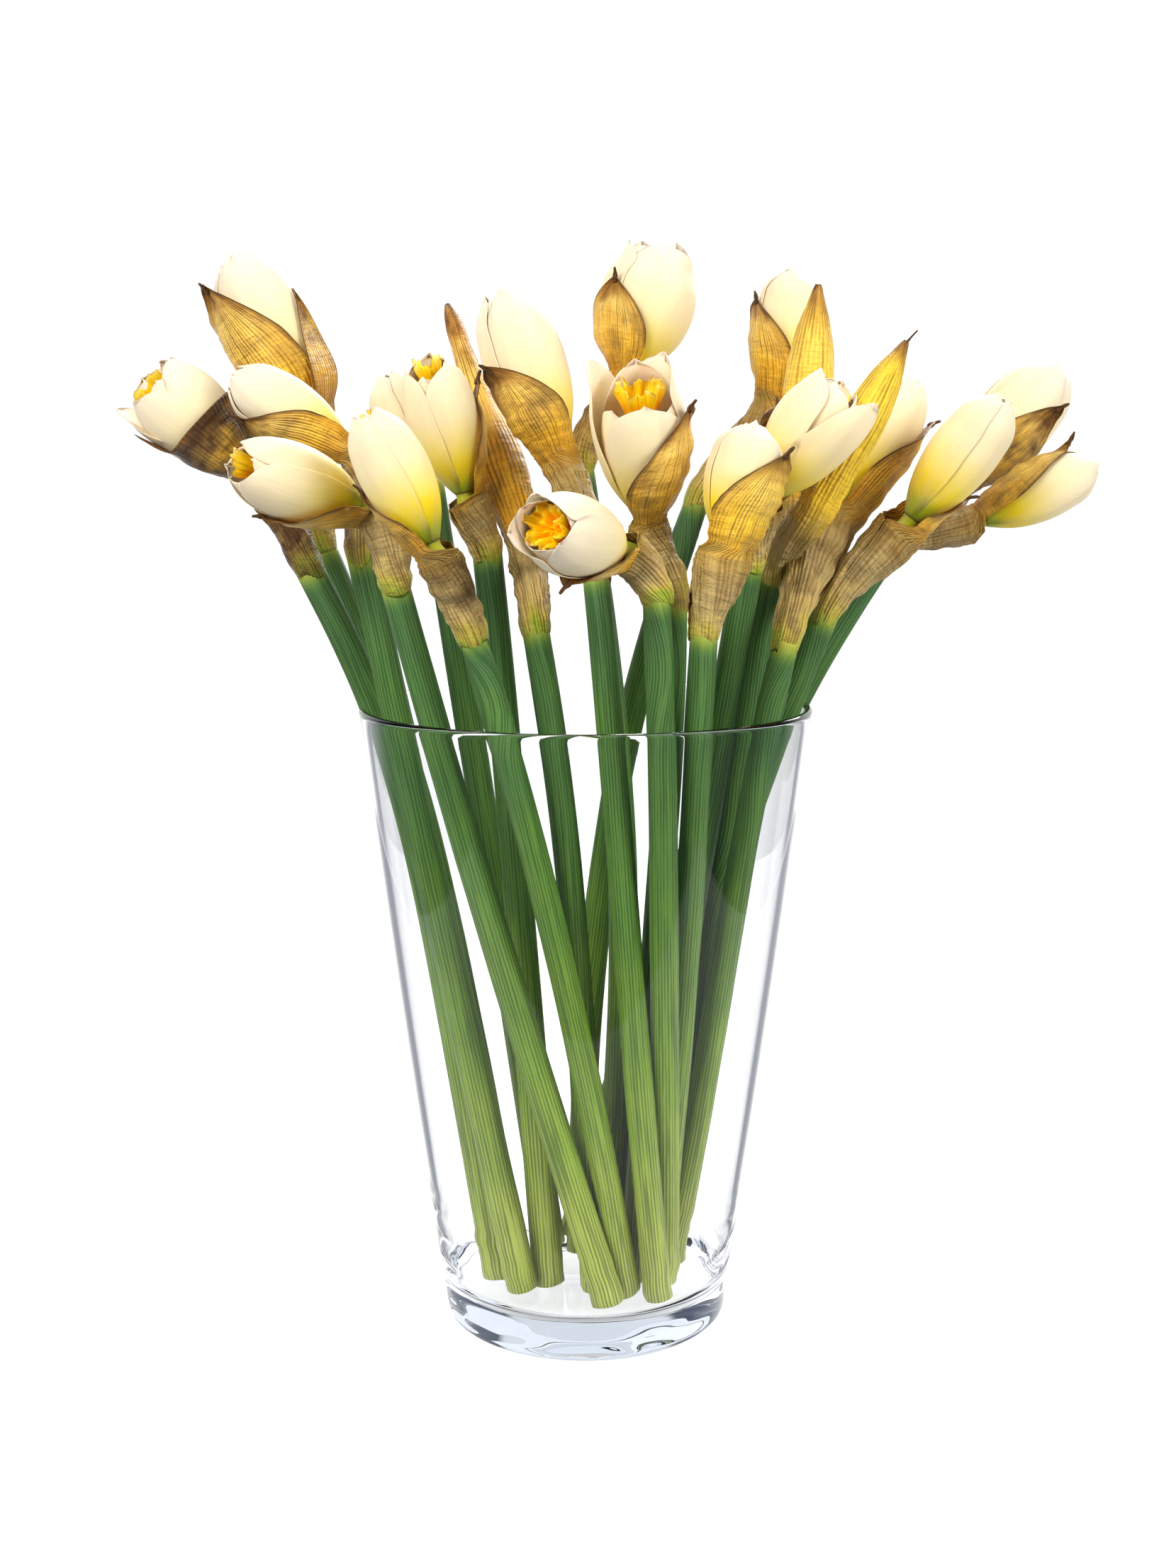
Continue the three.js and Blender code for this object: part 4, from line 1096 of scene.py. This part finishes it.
# the brighter of a level and the side blue, for a ray through the glass
def withSideBlue(tree, path, level):
    blue = addNode(tree, "VectorMath", {"operation": "SCALE"},
                   {0: colour(sideBlue["colour"])[:3], "Scale": sideBlue["level"]})
    return addNode(tree, "Mix", {"data_type": "RGBA", "blend_type": "LIGHTEN"},
                   {0: path.outputs["Is Transmission Ray"], 6: level, 7: blue})


# 1 straight behind the vase and 0 to its sides, from a place or direction's X and Y; a ray that has
# come through both walls finds 1 again further round
def whiteBehind(tree, parts, aside, both):
    across = addNode(tree, "Math", {"operation": "ABSOLUTE"}, {0: parts.outputs["X"]})
    off = addNode(tree, "Math", {"operation": "SUBTRACT"}, {0: across, 1: aside})
    away = addNode(tree, "Math", {"operation": "MAXIMUM"}, {0: parts.outputs["Y"], 1: leastBehind})
    slant = addNode(tree, "Math", {"operation": "DIVIDE"}, {0: off, 1: away})
    straight = addNode(tree, "MapRange", softStep,
                       {"Value": slant, "From Min": whiteEdges[0], "From Max": whiteEdges[1],
                        "To Min": 1.0, "To Max": 0.0})
    further = addNode(tree, "MapRange", softStep,
                      {"Value": slant, "From Min": againEdges[0], "From Max": againEdges[1]})
    front = addNode(tree, "Math", {"operation": "LESS_THAN"}, {0: parts.outputs["Y"], 1: 0.0})
    wide = addNode(tree, "Math", {"operation": "MAXIMUM"}, {0: further, 1: front})
    again = addNode(tree, "Math", {"operation": "MULTIPLY"}, {0: wide, 1: both})
    return addNode(tree, "Math", {"operation": "MAXIMUM"}, {0: straight, 1: again})


def floorMaterial(f):
    material, tree = newMaterial("studioFloorPaper")
    place = addNode(tree, "SeparateXYZ", None, {0: addNode(tree, "TexCoord").outputs["Object"]})
    behind = addNode(tree, "MapRange", softStep,
                     {"Value": place.outputs["Y"], "From Min": f["fadeFrom"], "From Max": f["fadeTo"],
                      "To Max": f["behind"] - f["mirrored"]})
    path = addNode(tree, "LightPath")
    both = addNode(tree, "Math", {"operation": "GREATER_THAN"},
                   {0: path.outputs["Transmission Depth"], 1: bothWallsPassed})
    lit = addNode(tree, "Math", {"operation": "MAXIMUM"}, {0: behind, 1: both})
    around = whiteBehind(tree, place, f["aside"], both)
    white = addNode(tree, "Math", scaledAndMoved,
                    {0: lit, 1: around, 2: f["mirrored"]})
    # through the glass or from its polish, and not as light on a dull surface
    inGlass = addNode(tree, "Math", {"operation": "MAXIMUM"},
                      {0: path.outputs["Is Transmission Ray"], 1: path.outputs["Is Glossy Ray"]})
    light = addNode(tree, "Mix", mixNumbers, {0: inGlass, 2: f["bounce"], 3: white})
    glow = addNode(tree, "Mix", mixNumbers,
                   {0: path.outputs["Is Camera Ray"], 2: light, 3: f["glow"]})
    shader = addNode(tree, "BsdfPrincipled", None, {
        "Base Color": (f["shade"], f["shade"], f["shade"], 1), "Roughness": 0.9,
        "Emission Color": withSideBlue(tree, path, glow).outputs[2], "Emission Strength": 1.0})
    addNode(tree, "OutputMaterial", None, {"Surface": shader})
    return material


# one flat face, wider than the picture
def addFloor(f):
    corners = [(-f["side"], f["front"], 0), (f["side"], f["front"], 0), (f["side"], f["back"], 0),
               (-f["side"], f["back"], 0)]
    mesh = bpy.data.meshes.new("studio_floor")
    mesh.from_pydata(corners, [], [(0, 1, 2, 3)])
    mesh.materials.append(floorMaterial(f))
    floor = bpy.data.objects.new("studio_floor", mesh)
    bpy.context.scene.collection.objects.link(floor)


# White where it is seen; as light it is white behind the vase and grey overhead and in front, and the
# glass mirrors a dark front and finds white only straight behind the vase and overhead. start and full:
# how far back a direction points where it turns white; riseFrom and riseTo: how far up, where it turns
# to top, or to glint in the glass. soft: the least on dull surfaces. slack: widens the white behind.
# seen: as the camera sees it.
studio = {
    "front": 0.03, "soft": 0.36, "back": 1.2, "start": 0.45, "full": 0.8, "top": 0.6, "glint": 1.3,
    "riseFrom": 0.5, "riseTo": 0.9, "slack": 0.075, "seen": 1.05,
}


def addWorld(w):
    world = bpy.data.worlds.new("studioWhite")
    world.use_nodes = True
    tree = world.node_tree
    tree.nodes.clear()
    where = addNode(tree, "TexCoord").outputs["Generated"]
    parts = addNode(tree, "SeparateXYZ", None, {0: where})
    path = addNode(tree, "LightPath")
    depth = addNode(tree, "MapRange", softStep,
                    {"Value": parts.outputs["Y"], "From Min": w["start"], "From Max": w["full"],
                     "To Min": w["front"], "To Max": w["back"]})
    rise = addNode(tree, "MapRange", softStep,
                   {"Value": parts.outputs["Z"], "From Min": w["riseFrom"], "From Max": w["riseTo"]})

    # what lights the surfaces
    soft = addNode(tree, "Math", {"operation": "MULTIPLY"}, {0: path.outputs["Is Diffuse Ray"], 1: w["soft"]})
    lowest = addNode(tree, "Math", {"operation": "MAXIMUM"}, {0: depth, 1: soft})
    level = addNode(tree, "Mix", mixNumbers, {0: rise, 2: lowest, 3: w["top"]})

    # what shows through the glass
    mirrors = addNode(tree, "Math", {"operation": "SUBTRACT"},
                      {0: path.outputs["Ray Depth"], 1: path.outputs["Transmission Depth"]})
    unmirrored = addNode(tree, "Math", {"operation": "LESS_THAN"}, {0: mirrors, 1: neverMirrored})
    bent = addNode(tree, "Math", {"operation": "GREATER_THAN"},
                   {0: path.outputs["Transmission Depth"], 1: oneWallPassed})
    both = addNode(tree, "Math", {"operation": "MULTIPLY"}, {0: unmirrored, 1: bent})
    deep = addNode(tree, "Math", {"operation": "MAXIMUM"}, {0: depth, 1: both})
    around = whiteBehind(tree, parts, w["slack"], both)
    narrow = addNode(tree, "Math", {"operation": "MULTIPLY"}, {0: deep, 1: around})
    inGlass = addNode(tree, "Mix", mixNumbers, {0: rise, 2: narrow, 3: w["glint"]})
    found = addNode(tree, "Mix", mixNumbers,
                    {0: path.outputs["Is Transmission Ray"], 2: level, 3: inGlass})

    light = addNode(tree, "Background", None,
                    {"Color": withSideBlue(tree, path, found).outputs[2], "Strength": 1.0})
    seen = addNode(tree, "Background", None, {"Color": (1, 1, 1, 1), "Strength": w["seen"]})
    whole = addNode(tree, "MixShader", None,
                    {0: path.outputs["Is Camera Ray"], 1: light, 2: seen})
    addNode(tree, "OutputWorld", None, {"Surface": whole})
    bpy.context.scene.world = world


# places in metres, energy in watts; only a mirrored one draws its line on the glass rim
softboxes = {
    "keySoftbox": {"place": (-0.9, -1.3, 1.2), "energy": 38, "size": 0.9, "mirrored": False},
    "fillSoftbox": {"place": (1.3, -0.9, 0.7), "energy": 23, "size": 0.9, "mirrored": False},
    "backSoftbox": {"place": (0.5, 1.3, 1.2), "energy": 30, "size": 1.0, "mirrored": True},
}
lightAim = (0, 0, 0.22)  # the middle of the bunch


# a square softbox turned to the flowers
def addLight(name, box):
    lamp = bpy.data.lights.new(name, "AREA")
    lamp.energy = box["energy"]
    lamp.size = box["size"]
    light = bpy.data.objects.new(name, lamp)
    light.location = Vector(box["place"])
    light.rotation_euler = (Vector(lightAim) - light.location).to_track_quat("-Z", "Y").to_euler()
    light.visible_glossy = box["mirrored"]
    light.visible_transmission = False
    bpy.context.scene.collection.objects.link(light)


# as solved from the vase's rim and foot: place in mm, focus in the photo's pixels, pitch in degrees
camera = {"place": (0.8, -620, 276), "focus": 2788, "photoHigh": 2212, "pitch": 9.3, "sensor": 36.0}


def addCamera(c):
    data = bpy.data.cameras.new("camera")
    data.sensor_fit = "VERTICAL"
    data.sensor_height = c["sensor"]
    data.lens = c["sensor"] * c["focus"] / c["photoHigh"]
    data.clip_start = 0.01
    view = bpy.data.objects.new("camera", data)
    view.location = Vector(c["place"]) * mm
    view.rotation_euler = (math.radians(90 - c["pitch"]), 0, 0)
    bpy.context.scene.collection.objects.link(view)
    bpy.context.scene.camera = view


addFloor(floorSheet)
addWorld(studio)
for name, box in softboxes.items():
    addLight(name, box)
addCamera(camera)
bpy.context.scene.view_settings.view_transform = "Standard"
print("stage made")
